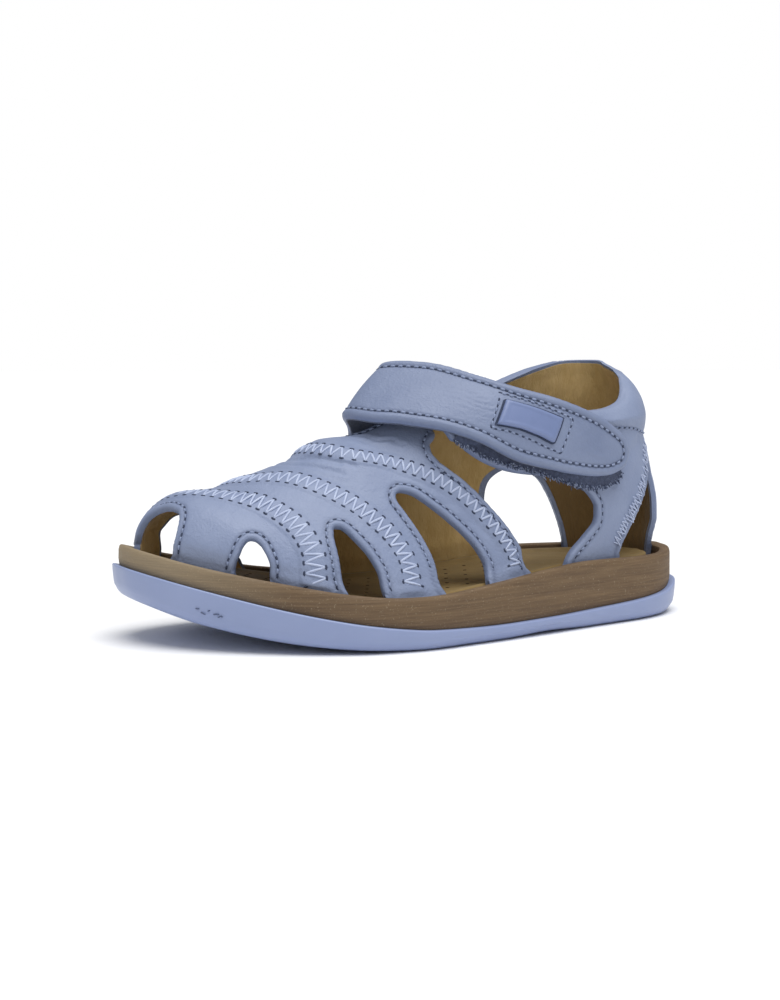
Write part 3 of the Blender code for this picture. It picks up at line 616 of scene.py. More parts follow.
@dataclass
class Last(Form):
    """The form that the upper is pulled over."""

    steps = (0.2, 0.002)
    facing = -1.0
    lines: SoleLines
    foot_inset: float = 5.6
    foot_depth: float = 3.6
    upright: float = 0.5
    spread: float = 0.9
    spread_ease: float = 2.0
    foot_blend: float = 2.4
    blend_height: float = 4.0
    wall: float = 2.0
    collar_padding: float = 2.2
    heel_section: float = 18.0
    heel_step: float = 8.0
    heel_blend: Pair = (12.0, 6.0)
    crown_blend: float = 0.2
    wall_from: float = 8.0
    wall_girth: float = 0.05
    back_full: float = 1.15
    back_reach: float = 34.0
    past_rim: float = 1.05
    lean_from: float = 18.0
    lean_height: float = 32.0
    lean_power: float = 1.4
    padding_power: float = 0.8
    padding_start: Pair = (15.0, 2.0)
    padding_end: Pair = (28.5, -2.5)
    pattern_half: float = 62.0
    waist_height: float = 38.0

    def __post_init__(self) -> None:
        """Work out the foot lines of both sides."""
        self.feet = [self.lines.side(side, self.foot_inset, 400) for side in (1, -1)]
        self.inner_heel_arc = float(self.inner_arc(LAST_SECTIONS[-1].foot_x))

    def inner_arc(self, x: Array) -> Array:
        """Arc from the heel's back along the inner foot line at a length."""
        return np.interp(x, self.feet[1].points[:, 0], self.feet[1].arc)

    def foot_y(self, foot: SideLine, x: Array) -> Array:
        """Where the upper enters the tray on one side."""
        return np.interp(x, *foot.points.T)

    def foot_z(self, x: Array) -> Array:
        """Lower edge of the upper inside the tray."""
        return self.lines.height("rim", x) - self.foot_depth

    def collar_share(self, height: Array) -> Array:
        """Pattern height as a share of the way from the collar's seam to its rim."""
        return (height - self.waist_height) / (self.pattern_half - self.waist_height)

    def arch(self, section: Array, girth: Array) -> Array:
        """Outer face of the upper over the forefoot.

        Args:
            section: place along the shoe.
            girth: place across it, -1 inner foot line to 1 outer foot line.

        Returns:
            Shoe points.
        """
        foot_x = fair(LAST_SECTIONS, "foot_x", section)
        fullness = fair(LAST_SECTIONS, "fullness", section)
        names = ("crown_x", "crown_y", "crown_z")
        crown = np.stack([fair(LAST_SECTIONS, name, section) for name in names], -1)
        foot_z = self.foot_z(foot_x)
        outer, inner = (np.stack([foot_x, self.foot_y(foot, foot_x), foot_z], -1) for foot in self.feet)
        middle = (outer + inner) / 2.0
        angle = girth * np.pi / 2.0
        across = np.sign(angle) * np.abs(np.sin(angle)) ** (2.0 / fullness)
        rise = np.abs(np.cos(angle)) ** (2.0 / fullness)
        point = middle + (outer - inner) / 2.0 * across[..., None] + (crown - middle) * rise[..., None]
        # Near the foot line the leather stands upright inside the tray's rim.
        above = point[..., 2] - self.lines.height("rim", point[..., 0])
        free = np.clip(above - self.upright, 0.0, None)
        room = self.spread * (np.hypot(free, self.spread_ease) - self.spread_ease)
        blend = self.foot_blend * smooth(above / self.blend_height)
        for foot, side in zip(self.feet, (1.0, -1.0)):
            over = side * (point[..., 1] - self.foot_y(foot, point[..., 0])) - room
            point[..., 1] -= side * (over + np.hypot(over, blend)) / 2.0
        return point

    def heel_arc(self, section: Array) -> Array:
        """Signed arc from the heel's back along the foot line."""
        front = -self.inner_arc(fair(LAST_SECTIONS, "foot_x", section))
        rear = (section - self.heel_section) * self.heel_step - self.inner_heel_arc
        return np.where(section < self.heel_section, front, rear)

    def heel_wall(self, section: Array, girth: Array) -> Array:
        """Outer face of the upper around the heel, with the padded collar and the wings.

        Args:
            section: place around the heel.
            girth: place up the wall, -1 at the foot line to 0 at the rim.

        Returns:
            Shoe points.
        """
        arc = self.heel_arc(section)
        height = (girth + 1.0) * self.pattern_half
        on_outer = (arc >= 0.0)[..., None]
        reach = np.abs(arc)
        base = np.where(on_outer, *(rows_at(foot.arc, foot.points, reach) for foot in self.feet))
        inward = np.where(on_outer, *(rows_at(foot.arc, foot.inward, reach) for foot in self.feet))
        at_back = smooth(self.back_full - reach / self.back_reach)
        share = np.clip(self.collar_share(height), 0.0, self.past_rim)
        below = height < self.waist_height
        insets = []
        for column in ("back_inset", "side_inset"):
            low = fair(HEEL_WALL, column, height)
            insets.append(np.where(below, low, fair(COLLAR_PROFILE, column, share)))
        back, sides = insets
        low_z = self.foot_z(base[..., 0])
        rim_z = fair(COLLAR_RIM, "rim_z", arc)
        waist_z = fair(COLLAR_RIM, "waist_z", arc)
        wall_z = low_z + height / self.waist_height * (waist_z - low_z)
        z = np.where(below, wall_z, waist_z + share * (rim_z - waist_z))
        lean = fair(COLLAR_RIM, "lean", arc) * self.rise_share(z) ** self.lean_power
        plan = base + inward * (sides + lean)[..., None]
        plan[..., 0] += (back - sides) * at_back
        return np.concatenate([plan, z[..., None]], -1)

    def rise_share(self, z: Array) -> Array:
        """Height over the wings' foot as a share of their lean."""
        return np.clip(z - self.lean_from, 0.0, None) / self.lean_height

    def face(self, section: Array, girth: Array) -> Array:
        """Outer face of the whole upper: forefoot arch easing into the heel wall on the inner side."""
        section, girth = np.broadcast_arrays(np.asarray(section, float), np.asarray(girth, float))
        to_heel = ramp(section, *self.heel_blend) * smooth(1.0 - girth / self.crown_blend)
        front = self.arch(np.minimum(section, self.heel_section), girth)
        rear = self.heel_wall(np.maximum(section, self.wall_from), np.minimum(girth, self.wall_girth))
        return front + (rear - front) * to_heel[..., None]

    def thickness(self, section: Array, girth: Array) -> Array:
        """Wall of the upper, thicker in the padded collar."""
        share = self.collar_share((girth + 1.0) * self.pattern_half)
        padded = np.sin(np.pi * np.clip(share, 0.0, 1.0)) ** self.padding_power
        around_heel = ramp(section, *self.padding_start) * ramp(section, *self.padding_end)
        return self.wall + self.collar_padding * padded * around_heel

    def above_rim(self, point: Array) -> Array:
        """0 inside the tray, 1 from a millimetre above its rim."""
        return smooth(point[:, 2] - self.lines.height("rim", point[:, 0]))


@dataclass
class StrapForm(Form):
    """The curve that the fastened strap follows over the instep."""

    steps = (0.02, 0.02)
    facing = 1.0
    step: float = 13.0
    width: float = 22.0
    camber: float = 0.9
    thickness: float = 2.2

    def face(self, section: Array, share: Array) -> Array:
        """Outer face between the lower (0) and the upper (1) edge, without its camber."""
        names = ("x", "y", "z")
        low = np.stack([fair(STRAP_SECTIONS, "low_" + name, section, True) for name in names], -1)
        top = np.stack([fair(STRAP_SECTIONS, "top_" + name, section, True) for name in names], -1)
        return low + (top - low) * np.asarray(share)[..., None]

    def place(self, section: Array, share: Array, height: Array) -> tuple[Array, Array]:
        """Points at a height over the strap's cambered face.

        Args:
            section: place along the strap.
            share: place across it.
            height: millimetres over the face.

        Returns:
            Shoe points and outward normals.
        """
        margin = self.steps[0]
        section = np.clip(section, margin, STRAP_SECTIONS[-1].section - margin)
        normal = self.normal(section, share)
        camber = self.camber * np.sin(np.pi * np.clip(share, 0.0, 1.0))
        return self.face(section, share) + normal * (camber + height)[:, None], normal


def read_points(piece: Piece) -> Array:
    """A mesh's vertices as rows."""
    points = np.empty(len(piece.data.vertices) * 3)
    piece.data.vertices.foreach_get("co", points)
    return points.reshape(-1, 3)


def write_points(piece: Piece, points: Array) -> None:
    """Move a mesh's vertices."""
    piece.data.vertices.foreach_set("co", np.ascontiguousarray(points, np.float32).ravel())
    piece.data.update()


def note_values(piece: Piece, name: str, values: Array) -> None:
    """Keep one number a vertex for the piece's material."""
    attribute = piece.data.attributes.new(name, "FLOAT", "POINT")
    attribute.data.foreach_set("value", np.asarray(values, np.float32))


def only(piece: Piece) -> None:
    """Make a piece the one selected and active object."""
    bpy.ops.object.select_all(action="DESELECT")
    piece.select_set(True)
    bpy.context.view_layer.objects.active = piece


def edit_all(piece: Piece, *steps: Callable[[], object]) -> None:
    """Run edit-mode steps on a whole piece."""
    only(piece)
    bpy.ops.object.mode_set(mode="EDIT")
    bpy.ops.mesh.select_all(action="SELECT")
    for step in steps:
        step()
    bpy.ops.object.mode_set(mode="OBJECT")


def face_out(piece: Piece) -> None:
    """Turn a closed mesh right side out."""
    shape = bmesh.new()
    shape.from_mesh(piece.data)
    if shape.calc_volume(signed=True) < 0.0:
        bmesh.ops.reverse_faces(shape, faces=shape.faces)
    shape.to_mesh(piece.data)
    shape.free()


def soft_shading(piece: Piece, degrees: float) -> None:
    """Smooth shading with edges kept where the faces turn more than an angle."""
    only(piece)
    bpy.ops.object.shade_smooth_by_angle(angle=math.radians(degrees))


def lay(piece: Piece, points: Array) -> None:
    """Put a cut piece at its shoe points, right side out and softly shaded."""
    write_points(piece, to_world(points))
    face_out(piece)
    soft_shading(piece, 60.0)


def new_grid(name: str, columns: int, rows: int) -> tuple[Piece, Array]:
    """A flat grid to be shaped.

    Args:
        name: the piece's name.
        columns: cells one way.
        rows: cells the other way.

    Returns:
        The piece and its points' places, both from 0 to 1.
    """
    bpy.ops.object.select_all(action="DESELECT")
    bpy.ops.mesh.primitive_grid_add(x_subdivisions=columns, y_subdivisions=rows, size=1.0)
    piece = bpy.context.active_object
    piece.name = name
    piece.data.name = name
    return piece, read_points(piece)[:, :2] + 0.5


def join_closed(name: str, pieces: Sequence[Piece]) -> Piece:
    """Join patches into one closed mesh with its faces outwards.

    Args:
        name: the joined piece's name.
        pieces: patches whose edges meet.

    Returns:
        The joined piece.
    """
    bpy.ops.object.select_all(action="DESELECT")
    for piece in pieces:
        piece.select_set(True)
    bpy.context.view_layer.objects.active = pieces[0]
    bpy.ops.object.join()
    made = bpy.context.active_object
    made.name = name
    edit_all(
        made,
        lambda: bpy.ops.mesh.remove_doubles(threshold=0.00002),
        lambda: bpy.ops.mesh.dissolve_degenerate(threshold=0.00001),
        lambda: bpy.ops.mesh.normals_make_consistent(inside=False),
    )
    return made


@dataclass
class PatternSheet:
    """A flat piece of leather on a fine grid, cut by outlines and given a thickness."""

    name: str
    spans: tuple[Pair, Pair]
    unit: Pair
    cell: float
    outlines: Sequence[Array]
    inset: float = 0.0
    keep_inside: bool = False

    def cut(self) -> tuple[Piece, Array, Array]:
        """Lay out the grid, trim it along the outlines and thicken it.

        Returns:
            The piece, its points' pattern places and their wall share, 1 outer and 0 inner.
        """
        unit = np.array(self.unit)
        low, high = np.array(self.spans).T
        columns, rows = np.maximum(2, np.round((high - low) * unit / self.cell)).astype(int)
        piece, places = new_grid(self.name, int(columns), int(rows))
        flat = (low + places * (high - low)) * unit
        room = np.full(len(flat), 1e9)
        away = np.zeros_like(flat)
        for outline in self.outlines:
            gap, direction = outline_room(flat, np.asarray(outline, float) * unit)
            if self.keep_inside:
                gap, direction = -gap, -direction
            closer = gap < room
            room[closer] = gap[closer]
            away[closer] = direction[closer]
        self.trim(piece, flat, room - self.inset, away)
        solid = piece.modifiers.new("wall", "SOLIDIFY")
        solid.thickness = MM
        solid.offset = -1.0
        only(piece)
        bpy.ops.object.modifier_apply(modifier=solid.name)
        points = read_points(piece)
        return piece, points[:, :2] / MM / unit, 1.0 + points[:, 2] / MM

    def trim(self, piece: Piece, flat: Array, room: Array, away: Array) -> None:
        """Snap the nearest points onto the outlines and take away what lies beyond them.

        Args:
            piece: the grid.
            flat: its points in millimetres of pattern.
            room: their distance inside the piece, negative where cut away.
            away: directions of growing room.
        """
        edges = np.empty(len(piece.data.edges) * 2, int)
        piece.data.edges.foreach_get("vertices", edges)
        first, second = edges.reshape(-1, 2).T
        crossing = room[first] * room[second] < 0.0
        nearer = np.where(np.abs(room[first]) <= np.abs(room[second]), first, second)
        snapped = np.unique(nearer[crossing])
        flat[snapped] -= away[snapped] * room[snapped][:, None]
        before = room.copy()
        room[snapped] = 0.0
        write_points(piece, np.column_stack([flat * MM, np.zeros(len(flat))]))
        shape = bmesh.new()
        shape.from_mesh(piece.data)
        stray = []
        for face in list(shape.faces):
            corners = face.verts[:]
            beyond = [room[corner.index] < 0.0 for corner in corners]
            if sum(beyond) == 1 and room[corners[beyond.index(True) - 2].index] > 0.0:
                at = beyond.index(True)
                bmesh.utils.face_split(face, corners[at - 1], corners[(at + 1) % 4])
            elif all(room[corner.index] == 0.0 for corner in corners):
                if sum(before[corner.index] for corner in corners) < 0.0:
                    stray.append(face)
        bmesh.ops.delete(shape, geom=stray, context="FACES")
        shape.verts.ensure_lookup_table()
        gone = [vertex for vertex in shape.verts if room[vertex.index] < 0.0 or not vertex.link_faces]
        bmesh.ops.delete(shape, geom=gone, context="VERTS")
        shape.to_mesh(piece.data)
        shape.free()


@dataclass(frozen=True)
class StitchSize:
    """Thread of one kind of stitch, in millimetres."""

    pitch: float
    share: float
    radius: float
    sag: float


class Stitch(Enum):
    """Kinds of stitch, fibre and fleck by their use."""

    EDGE = StitchSize(pitch=2.4, share=0.7, radius=0.35, sag=0.34)
    ZIGZAG = StitchSize(pitch=1.5, share=0.98, radius=0.39, sag=0.32)
    OVERLOCK = StitchSize(pitch=1.15, share=0.95, radius=0.22, sag=0.22)
    FIBRE = StitchSize(pitch=0.22, share=1.0, radius=0.15, sag=0.0)
    SCUFF = StitchSize(pitch=1.0, share=1.0, radius=0.2, sag=0.1)


@dataclass
class ThreadWork:
    """Stitches, fibres or flecks and needle holes of one piece, gathered and then made as joined meshes."""

    name: str
    hole_radius: float = 0.36
    hole_stretch: float = 2.0
    hole_depth: float = 0.14
    bluntness: float = 0.75
    flatness: float = 0.85
    rise: float = 0.45
    stitches: list[tuple[Array, Array, Array, StitchSize]] = field(default_factory=list)
    holes: list[tuple[Array, Array, Array]] = field(default_factory=list)

    def add(self, start: Array, end: Array, normal: Array, kind: Stitch) -> None:
        """Note a row of stitches from their ends."""
        self.stitches.append((start, end, normal, kind.value))

    def add_holes(self, points: Array, normals: Array) -> None:
        """Note a row of needle holes."""
        self.holes.append((points, normals, np.gradient(points, axis=0)))

    def run(self, points: Array, normals: Array) -> None:
        """An edge line of stitches with a needle hole between each two.

        Args:
            points: shoe points a stitch pitch apart.
            normals: outward normals there.
        """
        middle = (points[1:] + points[:-1]) / 2.0
        half = (points[1:] - points[:-1]) * Stitch.EDGE.value.share / 2.0
        self.add(middle - half, middle + half, normals[:-1], Stitch.EDGE)
        self.add_holes(points, normals)

    def chain(self, points: Array, normals: Array, kind: Stitch) -> None:
        """A line of stitches from point to point."""
        self.add(points[:-1], points[1:], (normals[:-1] + normals[1:]) / 2.0, kind)

    def template(self, segments: int, rings: int) -> tuple[Array, list[tuple[int, ...]]]:
        """Points and faces of a small round bead, length along x.

        Args:
            segments: sides around it.
            rings: steps along it.

        Returns:
            Its points and its faces.
        """
        bpy.ops.object.select_all(action="DESELECT")
        bpy.ops.mesh.primitive_uv_sphere_add(segments=segments, ring_count=rings, radius=1.0)
        bead = bpy.context.active_object
        points = read_points(bead)[:, [2, 0, 1]]
        faces = [tuple(face.vertices) for face in bead.data.polygons]
        bpy.data.objects.remove(bead, do_unlink=True)
        return points, faces

    def copies(self, name: str, points: Array, faces: list[tuple[int, ...]]) -> Piece:
        """One mesh from many placed copies of a shape.

        Args:
            name: the piece's name.
            points: shoe points of every copy, copy by copy.
            faces: faces of the shape.

        Returns:
            The joined piece.
        """
        count, each = points.shape[:2]
        every = []
        for index in range(count):
            every.extend(tuple(corner + index * each for corner in face) for face in faces)
        mesh = bpy.data.meshes.new(name)
        mesh.from_pydata(to_world(points.reshape(-1, 3)).tolist(), [], every)
        piece = bpy.data.objects.new(name, mesh)
        bpy.context.scene.collection.objects.link(piece)
        edit_all(piece, lambda: bpy.ops.mesh.normals_make_consistent(inside=False))
        only(piece)
        bpy.ops.object.shade_smooth()
        return piece

    def thread_mesh(self) -> Piece:
        """All stitches as one mesh: each a bead that dips into the leather at its ends."""
        shape, faces = self.template(6, 7)
        blocks = []
        along = np.sign(shape[:, 0]) * np.abs(shape[:, 0]) ** self.bluntness
        for start, end, normal, size in self.stitches:
            run = end - start
            length = np.linalg.norm(run, axis=1)
            ahead = unit_rows(run)
            up = unit_rows(normal - ahead * np.sum(normal * ahead, 1)[:, None])
            side = np.cross(up, ahead)
            lift = shape[:, 2] * size.radius * self.flatness + size.radius * self.rise - size.sag * along ** 2
            middle = (start + end) / 2.0
            block = (middle[:, None]
                     + ahead[:, None] * (along[None, :, None] * length[:, None, None] / 2.0)
                     + side[:, None] * (shape[:, 1] * size.radius)[None, :, None]
                     + up[:, None] * lift[None, :, None])
            blocks.append(block)
        return self.copies(self.name + "_thread", np.concatenate(blocks), faces)

    def hole_mesh(self) -> Piece:
        """All needle holes as one mesh of shallow dark dimples, painted shade in the holes."""
        shape, faces = self.template(4, 7)
        points, normals, runs = (np.concatenate(rows) for rows in zip(*self.holes))
        up = unit_rows(normals)
        side = unit_rows(runs - up * np.sum(runs * up, 1)[:, None])
        other = np.cross(up, side)
        block = (points[:, None]
                 + side[:, None] * (shape[:, 0] * self.hole_radius * self.hole_stretch)[None, :, None]
                 + other[:, None] * (shape[:, 1] * self.hole_radius)[None, :, None]
                 + up[:, None] * (shape[:, 2] * self.hole_depth)[None, :, None])
        return self.copies(self.name + "_needle_holes", block, faces)


def hex_colour(code: str) -> tuple[float, float, float, float]:
    """An sRGB hex colour as linear light."""
    parts = [int(code[at:at + 2], 16) / 255.0 for at in (1, 3, 5)]
    linear = [part / 12.92 if part <= 0.04045 else ((part + 0.055) / 1.055) ** 2.4 for part in parts]
    return (*linear, 1.0)


def add_node(tree: bpy.types.NodeTree, kind: str, inputs: dict | None = None,
             **settings: object) -> bpy.types.Node:
    """Add a node to a material.

    Args:
        tree: the material's nodes.
        kind: the node's type.
        inputs: socket names or numbers with a value, or with the socket linked to it.
        **settings: the node's own properties.

    Returns:
        The node.
    """
    made = tree.nodes.new(kind)
    for name, value in settings.items():
        setattr(made, name, value)
    for name, value in (inputs or {}).items():
        if isinstance(value, bpy.types.NodeSocket):
            tree.links.new(value, made.inputs[name])
        else:
            made.inputs[name].default_value = value
    return made


@dataclass(frozen=True)
class Finish:
    """A surface with two mixed tones, a roughness and one or two reliefs."""

    name: str
    tone: str
    other_tone: str
    patch_mm: float
    roughness: float
    grain_mm: float
    grain_depth_mm: float
    stretch: tuple[float, float, float] = (1.0, 1.0, 1.0)
    edge_tone: str = ""
    edge_width: float = 0.5
    groove_shade_tone: str = ""
    sheen: float = 0.0
    detail: float = 4.0
    contrast: float = 0.25
    wrinkle_mm: float = 4.0
    wrinkle_depth_mm: float = 0.0
    fleck_tone: str = ""
    fleck_mm: float = 0.5

    def material(self) -> bpy.types.Material:
        """Build the material's nodes.

        Returns:
            The material.
        """
        made = bpy.data.materials.new(self.name)
        made.use_nodes = True
        tree = made.node_tree
        shader = tree.nodes["Principled BSDF"]
        shader.inputs["Roughness"].default_value = self.roughness
        shader.inputs["Sheen Weight"].default_value = self.sheen
        place = add_node(tree, "ShaderNodeTexCoord").outputs["Object"]
        stretched = add_node(tree, "ShaderNodeMapping", {"Vector": place, "Scale": self.stretch}).outputs[0]
        cloud = add_node(tree, "ShaderNodeTexNoise", {
            "Vector": stretched, "Scale": 1.0 / (self.patch_mm * MM),
            "Detail": self.detail, "Roughness": 0.6})
        spread = add_node(tree, "ShaderNodeMapRange", {
            "Value": cloud.outputs[0], "From Min": 0.5 - self.contrast, "From Max": 0.5 + self.contrast})
        layers = [(spread.outputs[0], self.other_tone)]
        if self.edge_tone:
            edge = add_node(tree, "ShaderNodeAttribute", attribute_name="edge")
            raw = add_node(tree, "ShaderNodeMapRange", {
                "Value": edge.outputs["Fac"], "From Min": 0.1, "From Max": self.edge_width,
                "To Min": 1.0, "To Max": 0.0})
            layers.append((raw.outputs[0], self.edge_tone))
        if self.fleck_tone:
            speck = add_node(tree, "ShaderNodeTexNoise", {
                "Vector": place, "Scale": 1.0 / (self.fleck_mm * MM), "Detail": 1.0})
            flecks = add_node(tree, "ShaderNodeMapRange", {
                "Value": speck.outputs[0], "From Min": 0.64, "From Max": 0.74, "To Max": 0.45})
            layers.append((flecks.outputs[0], self.fleck_tone))
        if self.groove_shade_tone:
            groove = add_node(tree, "ShaderNodeAttribute", attribute_name="groove")
            layers.append((groove.outputs["Fac"], self.groove_shade_tone))
        colour = hex_colour(self.tone)
        for share, tone in layers:
            colour = add_node(tree, "ShaderNodeMix", {0: share, 6: colour, 7: hex_colour(tone)},
                              data_type="RGBA").outputs[2]
        reliefs = ((self.grain_mm, self.grain_depth_mm, {"Detail": 3.0, "Roughness": 0.55}),
                   (self.wrinkle_mm, self.wrinkle_depth_mm, {"Detail": 2.0, "Distortion": 1.2}))
        below = {}
        for size, depth, settings in reliefs:
            if depth:
                noise = add_node(tree, "ShaderNodeTexNoise", {
                    "Vector": stretched, "Scale": 1.0 / (size * MM), **settings})
                bump = add_node(tree, "ShaderNodeBump", {
                    "Height": noise.outputs[0], "Strength": 1.0, "Distance": depth * MM, **below})
                below = {"Normal": bump.outputs[0]}
        tree.links.new(colour, shader.inputs["Base Color"])
        tree.links.new(below["Normal"], shader.inputs["Normal"])
        return made


# Grain leather, drum-dyed and lightly waxed: even colour, fine pebble, soft broad shine. Its groove tone is
# painted shade along the sewn stitch lines.
LEATHER = Finish("slate_blue_leather", "#7a87a6", "#8a96b3", 14.0, 0.52, 0.7, 0.15,
                 edge_tone="#7380a0", edge_width=0.55, groove_shade_tone="#4a5470",
                 wrinkle_mm=3.2, wrinkle_depth_mm=0.19)
# Painted shade: the strap is the same hide as the upper, painted a little darker where it catches less light.
STRAP_LEATHER_SHADED = replace(LEATHER, name="slate_blue_strap_leather_shaded", tone="#727f9e", other_tone="#818daa")
# Suede-backed pigskin lining: short nap, tan with darker rubbed streaks. Its edge tone is painted shade,
# darkening the heel's lining below the collar.
LINING = Finish("tan_leather_lining", "#b8985c", "#d3b67e", 5.0, 0.85, 0.5, 0.16,
                stretch=(1.0, 1.0, 0.4), sheen=0.2, contrast=0.3, wrinkle_mm=3.5, wrinkle_depth_mm=0.4,
                edge_tone="#5f4519", edge_width=1.0)
# Vegetable-tanned footbed, rubbed smooth: warm tan, faint mottle.
FOOTBED = Finish("tan_leather_footbed", "#766032", "#8a7243", 9.0, 0.75, 0.6, 0.08,
                 sheen=0.1, wrinkle_mm=5.0, wrinkle_depth_mm=0.2)
# Moulded foam printed like wood: thin level streaks, dull. Its edge tone is painted light, paler towards the
# toe.
MIDSOLE = Finish("wood_look_midsole", "#584430", "#7a6347", 4.5, 0.68, 3.0, 0.2,
                 stretch=(0.25, 0.25, 7.0), detail=8.0, contrast=0.24, edge_tone="#8d7d64", edge_width=1.0,
                 fleck_tone="#a39377", fleck_mm=0.45)
# Moulded thermoplastic rubber: smooth, satin, even.
RUBBER = Finish("periwinkle_rubber", "#8795bb", "#919ec3", 30.0, 0.4, 0.7, 0.015)
# Bonded polyester sewing thread: pale, slightly shiny filaments.
THREAD = Finish("pale_blue_thread", "#a4b0ce", "#bec9e2", 3.0, 0.45, 0.25, 0.05)
EDGE_THREAD = Finish("blue_thread", "#7986a4", "#8e9bb9", 3.0, 0.5, 0.25, 0.05)
# Punched holes, seen only as dark points: painted shade inside them.
NEEDLE_HOLE = Finish("needle_hole_shade", "#313a50", "#414b64", 3.0, 0.9, 0.3, 0.02)
PERFORATION = Finish("footbed_hole_shade", "#3a2c14", "#46371c", 3.0, 0.9, 0.3, 0.02)
SCUFF = Finish("scuffed_rubber", "#4b556f", "#5d6885", 1.0, 0.8, 0.3, 0.05)
# Woven nylon hook and loop: dark, matte, fuzzy with lighter loose fibres.
HOOK_TAPE = Finish("woven_hook_tape", "#343c54", "#56617e", 1.2, 0.95, 0.4, 0.2, sheen=0.3)
DARK_FIBRE = Finish("dark_nylon_fibre", "#3a435b", "#525d7a", 1.5, 0.8, 0.3, 0.02)
LIGHT_FIBRE = Finish("light_nylon_fibre", "#7b87a6", "#9ea9c4", 1.5, 0.7, 0.3, 0.02)
STRAP_BACKING = Finish("slate_fabric_backing", "#4a5368", "#5b657d", 2.0, 0.9, 0.5, 0.12, sheen=0.2)
# Soft moulded rubber, a little bluer and shinier than the leather.
PATCH_RUBBER = Finish("soft_rubber_patch", "#7080a9", "#7b89b2", 12.0, 0.4, 0.6, 0.02)


@dataclass(frozen=True)
class EdgeRoll:
    """How a cut edge of leather swells, rolls over and is drawn in by its stitch line."""

    stitch_inset: float
    swell: float
    fall: float
    fall_width: float
    groove: float
    groove_width: float = 0.6
    shade: float = 0.55
    shade_width: float = 0.55

    def relief(self, edge: Array) -> Array:
        """Height by distance from the edge."""
        swell = self.swell * np.sin(np.pi * np.clip(edge / self.stitch_inset, 0.0, 1.0))
        fall = self.fall * (1.0 - np.clip(edge / self.fall_width, 0.0, 1.0)) ** 2
        groove = self.groove * np.exp(-((edge - self.stitch_inset) / self.groove_width) ** 2)
        return swell - fall - groove

    def mark(self, piece: Piece, edge: Array, wall: Array) -> None:
        """Note each point's distance from the edge and its painted shade in the sewn groove.

        Args:
            piece: the leather.
            edge: distances from the edge.
            wall: 1 on its outer face, 0 on its inner face.
        """
        groove = self.shade * np.exp(-((edge - self.stitch_inset) / self.shade_width) ** 2)
        note_values(piece, "edge", edge)
        note_values(piece, "groove", groove * (wall > 0.5))


def dress(piece: Piece, finish: Finish, slot: str, *nodes: str) -> None:
    """Give a piece its finish and tie it to the frame.

    Args:
        piece: the piece.
        finish: its finish.
        slot: the record's material slot it belongs to; not used.
        *nodes: the CAD nodes it stands for.
    """
    piece.data.materials.clear()
    made = bpy.data.materials.get(finish.name) or finish.material()
    piece.data.materials.append(made)
    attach(piece, BODY)
    if nodes:
        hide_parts(*nodes)
    log.info("%s: %d faces", piece.name, len(piece.data.polygons))


# Scuff flecks as (length along the shoe, share of the side's height, run, lift).
SCUFFS = ((163.0, 0.44, 0.9, 0.2), (161.9, 0.38, 1.1, -0.3), (160.4, 0.46, 0.6, 0.4), (159.2, 0.41, 1.4, 0.5),
          (158.2, 0.36, 0.8, 0.6), (157.6, 0.43, 0.5, -0.3))


